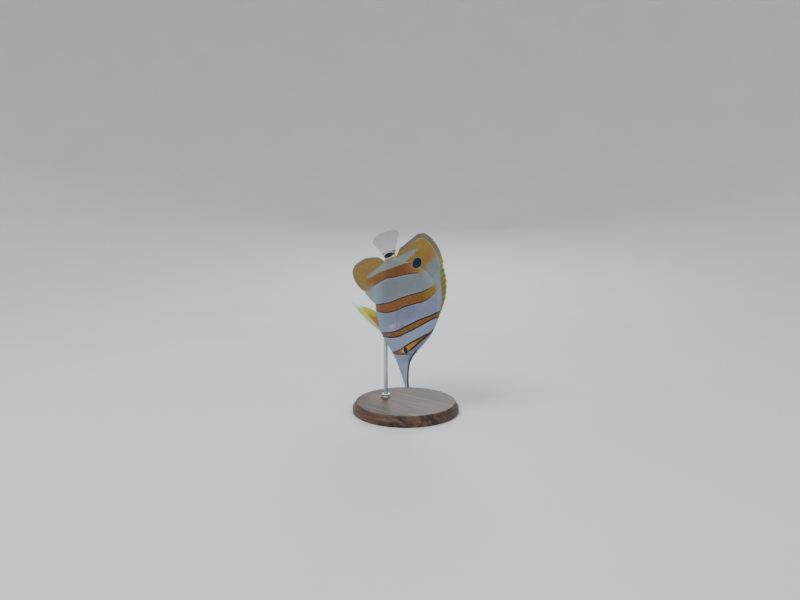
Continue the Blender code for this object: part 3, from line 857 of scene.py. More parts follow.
def fin_coat(name, fin, side, material):
    """Small scales over a soft fin's base, thinning out towards its free edge."""
    place, half, _ = fin
    columns, rows = half.shape
    root = place[:, 0]
    run = np.concatenate([[0], np.cumsum(np.linalg.norm(np.diff(root, axis=0), axis=-1))])
    lengths = np.linalg.norm(place[:, -1] - place[:, 0], axis=-1)
    u_axis = np.arange(0, lengths.max() + 0.2, 0.2)
    v_axis = np.linspace(0, run[-1], 400)
    column = np.interp(v_axis, run, np.arange(columns))
    base = column.astype(int).clip(0, columns - 2)
    part = (column - base)[:, None, None]
    points = np.stack([place[..., 0], side * half, place[..., 1]], axis=-1)
    lines = points[base] * (1 - part) + points[base + 1] * part
    length = np.interp(v_axis, run, lengths)
    share = np.clip(u_axis[:, None] / length[None, :], 0, 1) * (rows - 1.001)
    i = share.astype(int)
    rest = (share - i)[..., None]
    index = np.arange(len(v_axis))[None, :]
    grid = lines[index, i] * (1 - rest) + lines[index, i + 1] * rest
    sheet = Sheet(u_axis, v_axis, grid, np.full(grid.shape[:2], float(side)))
    starts = np.arange(0.9, lengths.max() * FIN_COAT_REACH, FIN_SCALE_PITCH)
    roots = brick_roots(starts, lambda u: 0.86 * FIN_SCALE_PITCH, lambda u: 0.5,
                        lambda u: run[-1] - 0.5)
    limit = np.interp(roots[:, 1], v_axis, length) * FIN_COAT_REACH
    draw = np.random.default_rng(31 + side)
    fade = draw.uniform(0.72, 1.0, len(roots))
    chosen = roots[:, 0] < limit * fade
    roots = roots[chosen]
    size = 0.62 - 0.30 * roots[:, 0] / limit[chosen]
    at = sheet.read(sheet.points, roots[:, 0], roots[:, 1])
    pitch = np.full(len(roots), FIN_SCALE_PITCH)
    build_coat(name, sheet, roots, 1.7 * pitch, 0.5 * pitch, size, material,
               flat_map(at[:, 0], at[:, 2]), seed=53 + side)


def pectoral_tips(share):
    angle = np.radians(62 - 56 * share)
    reach = PECTORAL_LENGTH * (1 - 0.86 * (share - 0.3) ** 2)
    return np.stack([reach * np.cos(angle), reach * np.sin(angle)], axis=-1)


def build_paired_fins(clear_skin, pelvic_skin):
    s, h = PECTORAL_ROOT
    flank = float(half_thickness(s, level_at(s, h)))
    for side, word in SIDES:
        fin = fin_surface(straight((0, 2.2), (0, -2.2)), pectoral_tips, PECTORAL_RAYS,
                          root_half=0.62, edge_half=0.045, ridge=0.10)
        turn = (Matrix.Translation((s, side * (flank - 0.35), h))
                @ Matrix.Rotation(side * PECTORAL_SPLAY, 4, "Z"))
        fin_piece(f"pectoral_{word}", fin, clear_skin, "clear_fin", f"pectoral_fin_{word}", turn)

        fin = fin_surface(straight((0, 0.9), (3.6, 1.1)), path_through(PELVIC_EDGE), PELVIC_RAYS,
                          rows=32, per_ray=16, root_half=0.62, edge_half=0.06, ridge=0.16, bow=-0.04,
                          sink=1.6, reach=lambda x: 1 - 0.03 * (2 * x) ** 2)
        splay, droop, swing = (math.radians(angle) for angle in PELVIC_TURN[word])
        turn = (Matrix.Translation((PELVIC_ROOT[0], side * PELVIC_HALF_SPREAD, PELVIC_ROOT[1]))
                @ Euler((side * splay, droop, side * swing)).to_matrix().to_4x4())
        fin_piece(f"pelvic_{word}", fin, pelvic_skin, "pelvic", f"pelvic_fin_{word}", turn)


def build_eyes(material, rings=56, segments=96):
    """Eyeballs with a raised clear front, each carrying the distances that its iris is drawn by."""
    for side, word in SIDES:
        centre, turn = eye_axes(side)
        polar = np.linspace(0, np.pi, rings + 1)[1:-1]
        around = np.linspace(0, 2 * np.pi, segments, endpoint=False)
        radius = np.sin(polar)[:, None] * np.ones(segments)
        out = np.cos(polar)[:, None] * np.ones(segments) * EYE_RADII[1]
        x = radius * np.cos(around) * EYE_RADII[0]
        z = radius * np.sin(around) * EYE_RADII[2]
        out = out + np.where(out > 0, EYE_BULGE * bump(np.hypot(x, z), 1.5), 0)
        local = np.stack([x, side * out, z], axis=-1).reshape(-1, 3)
        poles = [(0, side * (EYE_RADII[1] + EYE_BULGE), 0), (0, -side * EYE_RADII[1], 0)]
        local = np.vstack([local, poles])
        facts = {"iris_x": local[:, 0], "iris_z": local[:, 2]}
        eye = new_piece(f"eyeball_{word}", local @ turn.T + centre,
                        grid_faces(rings - 1, segments, closed=True), material,
                        end_fans(rings - 1, segments), facts)
        keep(eye, "eye", f"eye_{word}")


def turned(name, profile, material, steps=160, axis=(0, 0)):
    """A solid turned round an upright axis from (radius, height) pairs in metres."""
    profile = np.array(profile, float)
    ends = [(0, 0, profile[0, 1]), (0, 0, profile[-1, 1])]
    points = np.vstack([ring_points(profile, steps), ends]) + (*axis, 0)
    obj = new_piece(name, points, grid_faces(len(profile), steps, closed=True), material,
                    end_fans(len(profile), steps), on_fish=False)
    obj.data.set_sharp_from_angle(angle=math.radians(35))
    return obj


def corner(centre, radius, start, end, steps=8):
    """Points on a quarter round, by its centre and its two angles in degrees."""
    angle = np.radians(np.linspace(start, end, steps))
    return [(centre[0] + radius * math.cos(a), centre[1] + radius * math.sin(a)) for a in angle]


def build_base(material):
    """The turned base, its edge moulded by four rounds."""
    profile = [(0.002, 0), (BASE_RADIUS - BASE_MOULDINGS[1][0], 0)]
    for inset, height, radius, start, end in BASE_MOULDINGS:
        profile += corner((BASE_RADIUS - inset, height), radius, start, end)
    profile += [(radius, BASE_HEIGHT) for radius in (0.030, 0.010, 0.002)]
    keep(turned("base", profile, material), "base", "stand_base")


def build_rod(material):
    """The rod up into the breast, cut to the belly's slope, and a collar where it leaves the base."""
    core = 0.0002  # radius of the innermost ring, round the rod's axis
    breast = pose_matrix() @ (Vector((ROD_AT, 0, float(keel(ROD_AT)))) * UNIT)
    high = breast.z + 0.0012
    profile = [(core, BASE_HEIGHT - 0.002), (ROD_RADIUS, BASE_HEIGHT - 0.002)]
    profile += [(ROD_RADIUS, z) for z in np.linspace(BASE_HEIGHT, high - ROD_BEVEL, 24)]
    profile += corner((ROD_RADIUS - ROD_BEVEL, high - ROD_BEVEL), ROD_BEVEL, 0, 90, 4)
    profile += [(core, high)]
    rod = turned("rod", profile, material, steps=48, axis=breast.xy)
    for point in rod.data.vertices:
        near_top = min(max((point.co.z - high + 0.008) / 0.006, 0), 1)
        point.co.z -= (ROD_TOP_SLOPE * (point.co.x - breast.x) + 0.0004) * near_top
    keep(rod, "rod", "stand_rod")

    lip, crown = BASE_HEIGHT + 0.0008, BASE_HEIGHT + COLLAR_HEIGHT
    profile = [(core, BASE_HEIGHT - 0.001), (COLLAR_RADIUS, BASE_HEIGHT - 0.001), (COLLAR_RADIUS, lip)]
    profile += corner((COLLAR_RADIUS - 0.0004, lip), 0.0004, 0, 90, 5)
    profile += corner((COLLAR_RADIUS - 0.0006, crown - 0.0006), 0.0006, -20, 90, 6)
    profile += [(core, crown)]
    keep(turned("collar", profile, material, steps=72, axis=breast.xy), "rod")


class Graph:
    """Short names for the nodes that a material is made of."""

    def __init__(self, tree):
        self.tree = tree

    def node(self, kind, *values, **settings):
        made = self.tree.nodes.new("ShaderNode" + kind)
        for key, value in settings.items():
            setattr(made, key, value)
        for socket, value in zip(made.inputs, values):
            self.feed(socket, value)
        return made

    def feed(self, socket, value):
        if isinstance(value, bpy.types.NodeSocket):
            self.tree.links.new(value, socket)
        elif value is not None:
            socket.default_value = value[:3] if socket.type == "VECTOR" else value

    def math(self, operation, *values):
        return self.node("Math", *values, operation=operation).outputs[0]

    def times(self, first, *others):
        for other in others:
            first = self.math("MULTIPLY", first, other)
        return first

    def scaled(self, value, factor, added):
        return self.math("MULTIPLY_ADD", value, factor, added)

    def minus(self, first, second):
        return self.math("SUBTRACT", first, second)

    def flip(self, value):
        return self.minus(1.0, value)

    def ease(self, value, low, high):
        """0 at low and 1 at high, smooth between them; low may be the larger."""
        return self.node("MapRange", value, low, high, 0.0, 1.0,
                         interpolation_type="SMOOTHSTEP").outputs[0]

    def between(self, value, low, high, soft):
        rise = self.ease(value, low - soft, low + soft)
        return self.times(rise, self.ease(value, high + soft, high - soft))

    def mix(self, share, first, second):
        made = self.tree.nodes.new("ShaderNodeMix")
        made.data_type = "RGBA"
        for index, value in ((0, share), (6, first), (7, second)):
            self.feed(made.inputs[index], value)
        return made.outputs[2]

    def over(self, colour, paint, *shares):
        """Lays the paint over the colour by the product of the shares."""
        return self.mix(self.times(*shares), colour, paint)

    def shade(self, colour, factor):
        """The colour made lighter or darker by a grey factor."""
        made = self.tree.nodes.new("ShaderNodeVectorMath")
        made.operation = "SCALE"
        self.feed(made.inputs[0], colour)
        self.feed(made.inputs["Scale"], factor)
        return made.outputs[0]

    def noise(self, vector, scale, detail=2.0, roughness=0.5):
        made = self.tree.nodes.new("ShaderNodeTexNoise")
        self.feed(made.inputs["Vector"], vector)
        for key, value in (("Scale", scale), ("Detail", detail), ("Roughness", roughness)):
            made.inputs[key].default_value = value
        return made.outputs["Fac"]

    def attributes(self, *names):
        return [self.node("Attribute", attribute_name=name).outputs["Fac"] for name in names]

    def stretched(self, vector, scale):
        made = self.node("Mapping", vector)
        made.inputs["Scale"].default_value = scale
        return made.outputs[0]

    def own_place(self):
        """The place on an object that is no part of the fish, in metres."""
        return self.node("TexCoord").outputs["Object"]

    def fish_place(self):
        """The place on the fish in hundredths of its length, and s, w and h apart."""
        place = self.node("Attribute", attribute_name="place").outputs["Vector"]
        return place, *self.node("SeparateXYZ", place).outputs

    def line(self, at, knots):
        """The value of a smooth line at a socket's value, from knots (at, value)."""
        low, high = knots[0][0], knots[-1][0]
        share = self.node("MapRange", at, low, high, 0.0, 1.0).outputs[0]
        made = self.tree.nodes.new("ShaderNodeFloatCurve")
        curve = made.mapping.curves[0]
        places = [((x - low) / (high - low), value / LINE_REACH) for x, value in knots]
        curve.points[0].location = places[0]
        curve.points[1].location = places[-1]
        for place in places[1:-1]:
            curve.points.new(*place)
        made.mapping.extend = "HORIZONTAL"
        made.mapping.update()
        self.feed(made.inputs["Value"], share)
        return self.math("MULTIPLY", made.outputs[0], LINE_REACH)

    def away(self, x, y, centre, radii):
        """Distance from a centre, as a share of an ellipse's two radii."""
        parts = [self.math("POWER", self.math("DIVIDE", self.minus(value, middle), radius), 2.0)
                 for value, middle, radius in zip((x, y), centre, radii)]
        return self.math("SQRT", self.math("ADD", *parts))

    def bump(self, height, strength, distance):
        made = self.tree.nodes.new("ShaderNodeBump")
        made.inputs["Strength"].default_value = strength
        made.inputs["Distance"].default_value = distance
        self.feed(made.inputs["Height"], height)
        return made.outputs["Normal"]


def new_material(name):
    made = bpy.data.materials.new(name)
    made.use_nodes = True
    return made, Graph(made.node_tree)


def dressed(made, graph, colour, roughness, normal=None, alpha=1.0, metallic=0.0, specular=0.5,
            coat=(0.0, 0.03)):
    """Feeds the sockets of a material's surface, and gives the material back."""
    values = {"Base Color": colour, "Roughness": roughness, "Normal": normal, "Alpha": alpha,
              "Metallic": metallic, "Specular IOR Level": specular, "Coat Weight": coat[0],
              "Coat Roughness": coat[1]}
    for name, value in values.items():
        graph.feed(made.node_tree.nodes["Principled BSDF"].inputs[name], value)
    return made


def paint_bar(graph, colour, s, h, edges, copper, ends=1.0, rim=0.6, rim_ends=1.0):
    """Lays one bar over the colour: a thin pale halo, dark edges and a copper middle."""
    front = graph.minus(s, graph.line(h, edges[0]))
    rear = graph.minus(graph.line(h, edges[1]), s)
    depth = graph.math("MINIMUM", front, rear)
    colour = graph.over(colour, HALO, graph.between(depth, -1.0, -0.4, 0.25), 0.28, ends)
    colour = graph.over(colour, copper, graph.ease(depth, -0.18, 0.18), ends)
    edge = graph.times(graph.ease(depth, -0.32, 0.02), graph.ease(depth, rim + 0.32, rim - 0.28))
    return graph.over(colour, BAR_EDGE, edge, ends, rim_ends)


def paint_silver(graph, s, h, mottle):
    """The ground colour: bluest on the head, greener towards the tail, and lighter at the belly, with a
    painted highlight, a pearly glint, low on the flank.
    """
    silver = graph.mix(graph.ease(s, 50, 42), SILVER, SILVER_FRONT)
    silver = graph.over(silver, SILVER_GREEN, graph.ease(s, 60, 70))
    silver = graph.over(silver, BELLY, graph.ease(h, -3, -17), 0.7)
    # painted highlight: a pearly glint of light low on the flank, near the pectoral fin's base
    patch = graph.ease(graph.away(s, h, FLANK_GLINT_AT, (2.2, 5.2)), 1.0, 0.1)
    silver = graph.over(silver, FLANK_GLINT, patch, 0.6)
    return graph.shade(silver, graph.scaled(mottle, 0.24, 0.88))


def paint_rear(graph, colour, s, h, place, copper):
    """The golden rear of the fish with its copper bar, over the colour so far."""
    front = graph.minus(s, graph.line(h, REAR_ZONE_FRONT))
    flank = graph.times(graph.ease(h, -22, -16), graph.ease(h, 29, 25))
    colour = graph.over(colour, HALO, graph.between(front, -1.0, -0.4, 0.25), 0.4, flank)
    soft = graph.scaled(graph.flip(flank), 4.2, 0.25)
    zone = graph.ease(front, graph.times(soft, -1.0), soft)
    ochre = graph.mix(graph.ease(graph.noise(place, 0.12, 3.0), 0.35, 0.65), OCHRE_DEEP, OCHRE)
    bar_rear = graph.minus(graph.line(h, REAR_BAR_END), s)
    bar = graph.times(graph.ease(bar_rear, -0.4, 0.4), graph.ease(h, -30, -16), graph.ease(h, 31, 20))
    rust = graph.times(graph.ease(h, -9, 0), graph.ease(h, 24, 14), 0.55)
    copper = graph.mix(rust, graph.mix(0.2, copper, OCHRE_DEEP), RUST)
    colour = graph.over(colour, graph.mix(bar, ochre, copper), zone)
    colour = graph.over(colour, BAR_EDGE, graph.between(front, 0.02, 0.55, 0.25), flank)
    wedge = graph.math("MINIMUM", graph.minus(s, graph.line(h, PALE_WEDGE[0])),
                       graph.minus(graph.line(h, PALE_WEDGE[1]), s))
    pale = graph.mix(graph.ease(h, 8, -6), graph.mix(0.5, WEDGE, SILVER_GREEN), WEDGE)
    colour = graph.over(colour, pale, graph.ease(wedge, -0.9, 1.1))
    rim = graph.times(graph.between(bar_rear, -0.7, -0.1, 0.25), flank)
    return graph.over(colour, HALO, rim, 0.4)


def paint_snout_line(graph, colour, s, w, h):
    """The line along the snout's ridge: black with pale edges, and higher up brown with black edges."""
    aside = graph.math("ABSOLUTE", w)
    ridge = graph.times(graph.ease(s, 28, 23.5), graph.ease(h, 0.5, 1.4), graph.ease(s, 0.6, 2.0))
    upper = graph.ease(s, 17.5, 20)
    colour = graph.over(colour, graph.mix(upper, HALO, BAR_EDGE), graph.ease(aside, 1.35, 1.15), ridge)
    return graph.over(colour, graph.mix(upper, BAR_EDGE, RIDGE_BROWN), graph.ease(aside, 1.05, 0.80),
                      ridge)


def markings_group():
    """The fish's pattern as a node group, shared by its skin, scales and fins."""
    tree = bpy.data.node_groups.new("fish_markings", "ShaderNodeTree")
    tree.interface.new_socket("Colour", in_out="OUTPUT", socket_type="NodeSocketColor")
    tree.interface.new_socket("Mottle", in_out="OUTPUT", socket_type="NodeSocketFloat")
    graph = Graph(tree)
    place, s, w, h = graph.fish_place()
    wavy = graph.scaled(graph.minus(graph.noise(place, 0.32, 3.0), 0.5), 0.3, s)
    mottle = graph.noise(place, 0.55, 4.0, 0.6)
    copper = graph.mix(graph.ease(mottle, 0.35, 0.65), COPPER, COPPER_BRIGHT)

    colour = paint_silver(graph, s, h, mottle)
    colour = paint_bar(graph, colour, wavy, h, GILL_BAR, copper, 1.0, 0.80)
    olive = graph.mix(graph.ease(h, 27, 35), copper, graph.mix(0.4, OCHRE, OLIVE_BROWN))
    colour = paint_bar(graph, colour, wavy, h, MIDDLE_BAR, olive, graph.ease(h, 42.5, 37.5), 0.55,
                       graph.ease(h, 37.5, 32.5))
    cheek = graph.mix(graph.ease(h, 26, 13), copper, ORANGE)
    cheek = graph.over(cheek, OLIVE_BROWN, graph.ease(h, 4.5, 0.0))
    ends = graph.times(graph.ease(h, -8.2, -5.5), graph.ease(h, 33.5, 30.5))
    dark = graph.times(graph.scaled(graph.ease(h, 0, 6), 0.5, 0.5),
                       graph.scaled(graph.ease(h, 18, 27), -0.3, 1.0))
    colour = paint_bar(graph, colour, wavy, h, EYE_BAR, cheek, ends, 0.92, dark)
    colour = paint_rear(graph, colour, wavy, h, place, copper)

    away = graph.away(s, h, OCELLUS, (1.0, 1.0))
    colour = graph.over(colour, OCELLUS_BLUE, graph.ease(away, OCELLUS_RING + 0.2, OCELLUS_RING - 0.4),
                        0.85)
    colour = graph.over(colour, OCELLUS_BLACK,
                        graph.ease(away, OCELLUS_RADIUS + 0.15, OCELLUS_RADIUS - 0.2))

    ring = graph.ease(graph.away(s, h, TAIL_SPOT, TAIL_RING_RADII), 1.12, 0.92)
    colour = graph.over(colour, TAIL_RING, ring, graph.between(h, -5.6, 5.9, 0.3), 0.9)
    spot = graph.ease(graph.away(wavy, h, TAIL_SPOT, TAIL_SPOT_RADII), 1.06, 0.94)
    colour = graph.over(colour, OCELLUS_BLACK, spot)
    colour = paint_snout_line(graph, colour, s, w, h)

    result = tree.nodes.new("NodeGroupOutput")
    graph.feed(result.inputs["Colour"], colour)
    graph.feed(result.inputs["Mottle"], mottle)
    return tree


def with_markings(graph, group):
    """The pattern's colour and its mottling."""
    made = graph.tree.nodes.new("ShaderNodeGroup")
    made.node_tree = group
    return made.outputs["Colour"], made.outputs["Mottle"]


def skin_material(group):
    """Wet skin: the markings over fine pores."""
    made, graph = new_material("fish_skin")
    place = graph.fish_place()[0]
    colour, mottle = with_markings(graph, group)
    freckle = graph.noise(place, 5.0, 3.0, 0.6)
    colour = graph.shade(colour, graph.scaled(freckle, 0.30, 0.85))
    return dressed(made, graph, colour, graph.scaled(mottle, 0.20, 0.24),
                   graph.bump(freckle, 0.35, 0.00008), metallic=0.10, specular=0.40,
                   coat=(0.12, 0.22))


def scale_material(group):
    """Pearly scales: each a little lighter or darker than the next, its free edge darker."""
    made, graph = new_material("fish_scales")
    place = graph.fish_place()[0]
    colour = with_markings(graph, group)[0]
    tone, tip = graph.attributes("tone", "tip")
    factor = graph.scaled(tone, 0.09, 0.955)
    factor = graph.times(factor, graph.scaled(graph.ease(tip, 0.82, 1.0), -0.10, 1.04))
    colour = graph.shade(colour, factor)
    grain = graph.noise(place, 7.0, 3.0, 0.6)
    return dressed(made, graph, colour, graph.scaled(tone, 0.08, 0.30),
                   graph.bump(grain, 0.25, 0.00005), metallic=0.20, specular=0.25,
                   coat=(0.06, 0.25))


def soft_fin_material(group):
    """Soft dorsal and anal fin: the markings, then a grey see-through margin with a line inside it."""
    made, graph = new_material("fin_soft")
    place, s, _, h = graph.fish_place()
    colour, mottle = with_markings(graph, group)
    ray, edge, along = graph.attributes("ray", "edge", "along")
    colour = graph.shade(colour, graph.scaled(ray, 0.22, 0.84))
    upper = graph.ease(h, 20, 30)
    lower = graph.ease(h, -6, -12)
    line = graph.between(edge, 3.6, 4.1, 0.3)
    colour = graph.over(colour, LIGHT_LINE, line, upper, 0.55)
    wide = graph.scaled(graph.ease(h, 4, 8), 1.2, 1.5)
    width = graph.scaled(upper, 0.6, wide)
    inward = graph.math("DIVIDE", edge, width)
    dark = graph.times(graph.between(inward, 0.85, 1.15, 0.12), lower, 0.45)
    colour = graph.over(colour, BAR_EDGE, dark)
    margin = graph.ease(inward, 1.12, 0.82)
    outer = graph.mix(lower, graph.mix(graph.ease(s, 94, 84), MARGIN, OLIVE), MARGIN_TAN)
    outer = graph.shade(outer, graph.scaled(ray, 0.4, 0.8))
    colour = graph.over(colour, outer, margin)
    colour = graph.over(colour, LIGHT_LINE, graph.ease(edge, 0.35, 0.1), 0.35)
    joints = graph.math("SINE", graph.times(along, 150.0))
    texture = graph.scaled(graph.times(ray, joints), 0.3, graph.noise(place, 3.0, 3.0))
    glass = graph.times(margin, graph.scaled(ray, -0.08, 0.14))
    return dressed(made, graph, colour, graph.scaled(mottle, 0.2, 0.3),
                   graph.bump(texture, 0.3, 0.0001), graph.flip(glass), coat=(0.25, 0.15))


def spiny_fin_material(group):
    """Spines with the web between them: bone spines over an olive yellow web."""
    made, graph = new_material("fin_spiny")
    place, s, _, h = graph.fish_place()
    colour = with_markings(graph, group)[0]
    ray, edge, along = graph.attributes("ray", "edge", "along")
    anal = graph.ease(h, -15, -20)
    strip = graph.ease(graph.minus(h, graph.line(s, BACK_STRIP)), -0.5, 0.5)
    glow = graph.math("MAXIMUM", graph.ease(edge, 1.5, 0.5), graph.times(ray, 0.55))
    olive = graph.shade(OLIVE, graph.scaled(glow, 0.75, 0.45))
    colour = graph.over(colour, olive, strip, graph.flip(anal))
    colour = graph.over(colour, WEDGE, anal, graph.ease(along, 0.0, 0.32))
    spine = graph.times(graph.ease(ray, 1.2, 1.8), graph.math("MAXIMUM", strip, anal))
    bone = graph.mix(graph.ease(along, 0.4, 0.8), graph.mix(0.35, OLIVE, BONE), BONE)
    bone = graph.over(bone, SPINE_TIP, graph.ease(along, 0.86, 0.97))
    bone = graph.over(bone, HALO, anal)
    colour = graph.over(colour, bone, spine)
    streak = graph.noise(place, 4.0, 3.0, 0.6)
    return dressed(made, graph, colour, graph.scaled(streak, 0.2, 0.26),
                   graph.bump(streak, 0.35, 0.0001), coat=(0.25, 0.15))


def clear_fin_material(group):
    """Tail and pectoral fins: glassy web between pale rays, the black band kept at the tail's root."""
    made, graph = new_material("fin_clear")
    place, s = graph.fish_place()[:2]
    colour, mottle = with_markings(graph, group)
    ray, along = graph.attributes("ray", "along")
    tail = graph.ease(s, 97, 98)
    painted = graph.times(tail, graph.ease(s, TAIL_SPOT[0] + 3.4, TAIL_SPOT[0] + 2.2))
    web = graph.mix(graph.times(ray, graph.scaled(tail, 0.6, 0.4)), CLEAR, CLEAR_RAY)
    web = graph.shade(web, graph.scaled(graph.times(ray, tail), 0.35, 0.72))
    web = graph.over(web, BELLY, graph.flip(tail), graph.ease(along, 0.50, 0.25))
    colour = graph.mix(painted, web, colour)
    joints = graph.math("SINE", graph.times(along, 170.0))
    texture = graph.scaled(graph.times(ray, joints), 0.4, graph.noise(place, 3.0, 2.0))
    thick = graph.scaled(tail, 0.06, 0.06)
    solid = graph.scaled(graph.ease(ray, 0.35, 0.95), thick, 0.03)
    solid = graph.scaled(tail, 0.20, solid)
    root = graph.math("MAXIMUM", painted, graph.ease(along, 0.22, 0.0))
    return dressed(made, graph, colour, graph.scaled(mottle, 0.2, 0.2),
                   graph.bump(texture, 0.3, 0.0001), graph.math("MAXIMUM", solid, root),
                   specular=0.30, coat=(0.08, 0.2))


def pelvic_material():
    """Pelvic fins: a lime leading edge, lemon middle, amber trailing part and a pearly tip."""
    made, graph = new_material("fin_pelvic")
    place = graph.fish_place()[0]
    ray, along, share = graph.attributes("ray", "along", "share")
    waver = graph.scaled(graph.noise(place, 0.6, 2.0), 0.14, share)
    leading = graph.mix(graph.ease(along, 0.60, 0.22), LIME, PALE_LIME)
    trailing = graph.mix(graph.ease(along, 0.86, 0.58), LEMON, AMBER)
    colour = graph.mix(graph.ease(waver, 0.44, 0.62), leading, trailing)
    colour = graph.over(colour, LEMON, graph.between(waver, 0.44, 0.60, 0.06), 0.6)
    colour = graph.over(colour, PEARL, graph.ease(along, 0.80, 0.97), graph.ease(share, 0.6, 0.2))
    colour = graph.over(colour, BELLY, graph.ease(along, 0.12, -0.02), 0.8)
    colour = graph.shade(colour, graph.scaled(ray, 0.2, 0.84))
    streak = graph.scaled(ray, 0.4, graph.noise(place, 4.0, 3.0))
    return dressed(made, graph, colour, graph.scaled(streak, 0.16, 0.24),
                   graph.bump(streak, 0.3, 0.0001), coat=(0.25, 0.12))


def eye_material():
    """A dark oval pupil set high, and round it a copper iris with a painted highlight below: a bright
    rose gold patch and a thin ring along the pupil's lower rim.
    """
    made, graph = new_material("eye")
    x, z = graph.attributes("iris_x", "iris_z")
    radius = graph.away(x, z, (0.0, 0.0), (1.0, 1.0))
    angle = graph.math("ARCTAN2", z, x)
    combined = graph.node("CombineXYZ", graph.math("COSINE", angle), graph.math("SINE", angle),
                          graph.times(radius, 0.25)).outputs[0]
    streak = graph.noise(combined, 9.0, 4.0, 0.65)
    iris = graph.mix(graph.ease(z, 0.6, -0.8), IRIS_COPPER, IRIS_ROSE)
    # painted highlight: the bright rose gold patch where light catches the iris below the pupil
    glint = graph.ease(graph.away(x, z, (-0.2, -1.75), (1.1, 0.85)), 1.0, 0.25)
    iris = graph.over(iris, IRIS_GLINT, glint, 0.9)
    iris = graph.over(iris, ORANGE, graph.ease(radius, 1.7, 2.5), graph.ease(z, 0.6, 1.6))
    iris = graph.shade(iris, graph.scaled(streak, 1.3, 0.35))
    iris = graph.over(iris, BAR_EDGE, graph.ease(x, 1.8, 2.4))
    ahead = graph.minus(graph.times(z, 0.39), x)
    iris = graph.over(iris, BAR_EDGE, graph.ease(ahead, 1.55, 1.85))
    iris = graph.over(iris, SILVER_FRONT, graph.ease(ahead, 2.35, 2.65))
    inner = graph.away(x, z, (0.0, 0.50), (2.25, 1.6))
    # painted highlight: a thin bright ring along the pupil's lower rim
    ring = graph.times(graph.between(inner, 1.02, 1.08, 0.03), graph.ease(z, 0.6, -0.4))
    iris = graph.over(iris, IRIS_GLINT, ring, 0.8)
    pupil = graph.ease(inner, 1.03, 0.97)
    colour = graph.mix(pupil, iris, PUPIL)
    return dressed(made, graph, colour, graph.scaled(streak, 0.1, 0.14),
                   metallic=graph.times(graph.flip(pupil), 0.35), specular=0.15, coat=(0.6, 0.02))


def wood_material():
    """Dark stained wood under satin lacquer, its grain running across the base."""
    made, graph = new_material("stained_wood")
    place = graph.own_place()
    fibre = graph.noise(graph.stretched(place, (14.0, 130.0, 60.0)), 3.0, 6.0, 0.62)
    wave = graph.noise(graph.stretched(place, (3.0, 38.0, 20.0)), 1.6, 3.0, 0.5)
    band = graph.math("SINE", graph.times(wave, 42.0))
    shade = graph.scaled(band, 0.16, fibre)
    colour = graph.mix(graph.ease(shade, 0.25, 0.80), WOOD_DARK, WOOD_LIGHT)
    pores = graph.ease(fibre, 0.64, 0.74)
    colour = graph.over(colour, WOOD_PORE, pores, 0.7)
    return dressed(made, graph, colour, graph.scaled(fibre, 0.20, 0.40),
                   graph.bump(shade, 0.18, 0.0002), specular=0.35, coat=(0.05, 0.3))


def steel_material():
    """Brushed steel, its fine lines running round the rod."""
    made, graph = new_material("brushed_steel")
    place = graph.own_place()
    lines = graph.noise(graph.stretched(place, (500.0, 500.0, 16000.0)), 1.0, 3.0, 0.6)
    cloud = graph.noise(place, 160.0, 2.0)
    colour = graph.mix(graph.ease(lines, 0.3, 0.7), STEEL_DARK, STEEL_LIGHT)
    return dressed(made, graph, colour, graph.scaled(cloud, 0.14, 0.36),
                   graph.bump(lines, 0.10, 0.00002), metallic=1.0)


def floor_material():
    made, graph = new_material("pale_floor")
    colour = graph.mix(graph.noise(graph.own_place(), 6.0, 3.0), FLOOR_DARK, FLOOR_LIGHT)
    return dressed(made, graph, colour, 0.7)


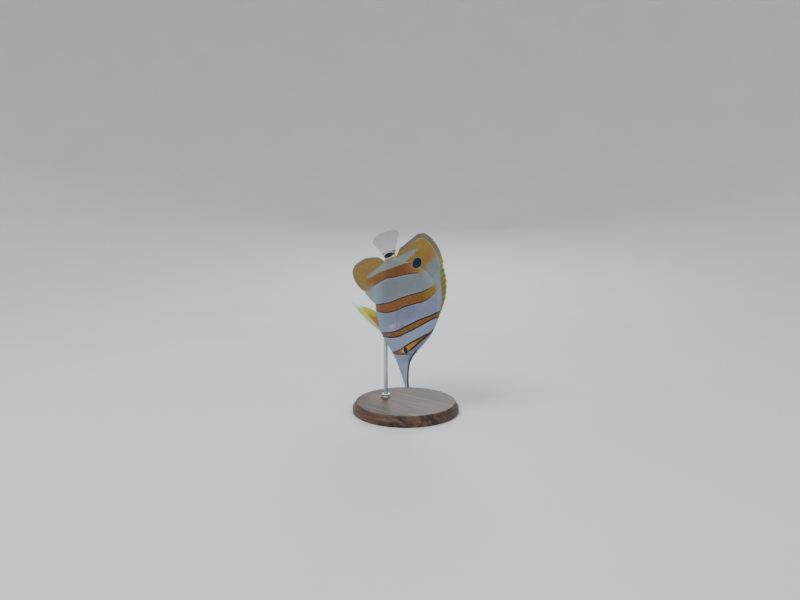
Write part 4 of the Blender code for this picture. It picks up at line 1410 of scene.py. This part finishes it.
def build_floor(steps=128):
    """A wide pale floor that turns up softly all round, far from the stand."""
    radius, bend = 2.6, 2.0
    profile = [(0.02, 0.0), (0.3, 0.0), (radius - bend, 0.0)]
    profile += corner((radius - bend, bend), bend, -90, 0, 24)[1:]
    profile += [(radius, 2.4)]
    points = ring_points(np.array(profile), steps)
    quads = grid_faces(len(profile), steps, closed=True)
    mesh = bpy.data.meshes.new("floor")
    mesh.from_pydata(np.vstack([points, [(0, 0, 0)]]), [],
                     quads.tolist() + fan_faces(np.arange(steps), len(points)))
    mesh.materials.append(floor_material())
    mesh.shade_smooth()
    linked("floor", mesh)


def look(obj, place, aim):
    """Sets a light or the camera at a place and turns it to what it looks at."""
    obj.location = place
    obj.rotation_euler = (Vector(aim) - Vector(place)).to_track_quat("-Z", "Y").to_euler()


def area_light(name, place, aim, size, power, colour):
    data = bpy.data.lights.new(name, "AREA")
    data.shape = "DISK"
    data.size = size
    data.energy = power
    data.color = colour
    look(linked(name, data), place, aim)


def build_lights():
    aim = (0, 0, 0.09)
    area_light("key", (-0.15, -0.75, 1.05), aim, 0.55, 10.0, (1.0, 0.98, 0.95))
    area_light("fill", (1.0, -0.55, 0.5), aim, 0.7, 3.8, (0.92, 0.96, 1.0))
    area_light("rim", (-0.55, 0.85, 0.75), aim, 0.6, 6.0, (0.95, 0.98, 1.0))
    world = bpy.data.worlds.new("studio")
    world.use_nodes = True
    world.node_tree.nodes["Background"].inputs["Color"].default_value = (0.90, 0.94, 1.0, 1)
    world.node_tree.nodes["Background"].inputs["Strength"].default_value = 0.9
    bpy.context.scene.world = world


def build_camera():
    """The photograph's view: a wide lens from the right front, a little above the fish."""
    azimuth, elevation, distance = math.radians(39), math.radians(7), 0.507
    target = Vector((-0.0069, 0.0005, 0.0982))
    out = Vector((math.sin(azimuth) * math.cos(elevation), -math.cos(azimuth) * math.cos(elevation),
                  math.sin(elevation)))
    data = bpy.data.cameras.new("camera")
    data.lens = 26
    data.sensor_width = 36
    data.clip_start = 0.01
    data.clip_end = 20
    camera = linked("camera", data)
    look(camera, target + out * distance, target)
    bpy.context.scene.camera = camera


def main():
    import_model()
    build_camera()
    group = markings_group()
    scales = scale_material(group)
    clear = clear_fin_material(group)
    build_skin(skin_material(group))
    for side, word in SIDES:
        flank_coat(side, word, scales)
    build_median_fins(soft_fin_material(group), spiny_fin_material(group), clear, scales)
    build_paired_fins(clear, pelvic_material())
    build_eyes(eye_material())
    build_base(wood_material())
    build_rod(steel_material())
    build_floor()
    build_lights()


main()
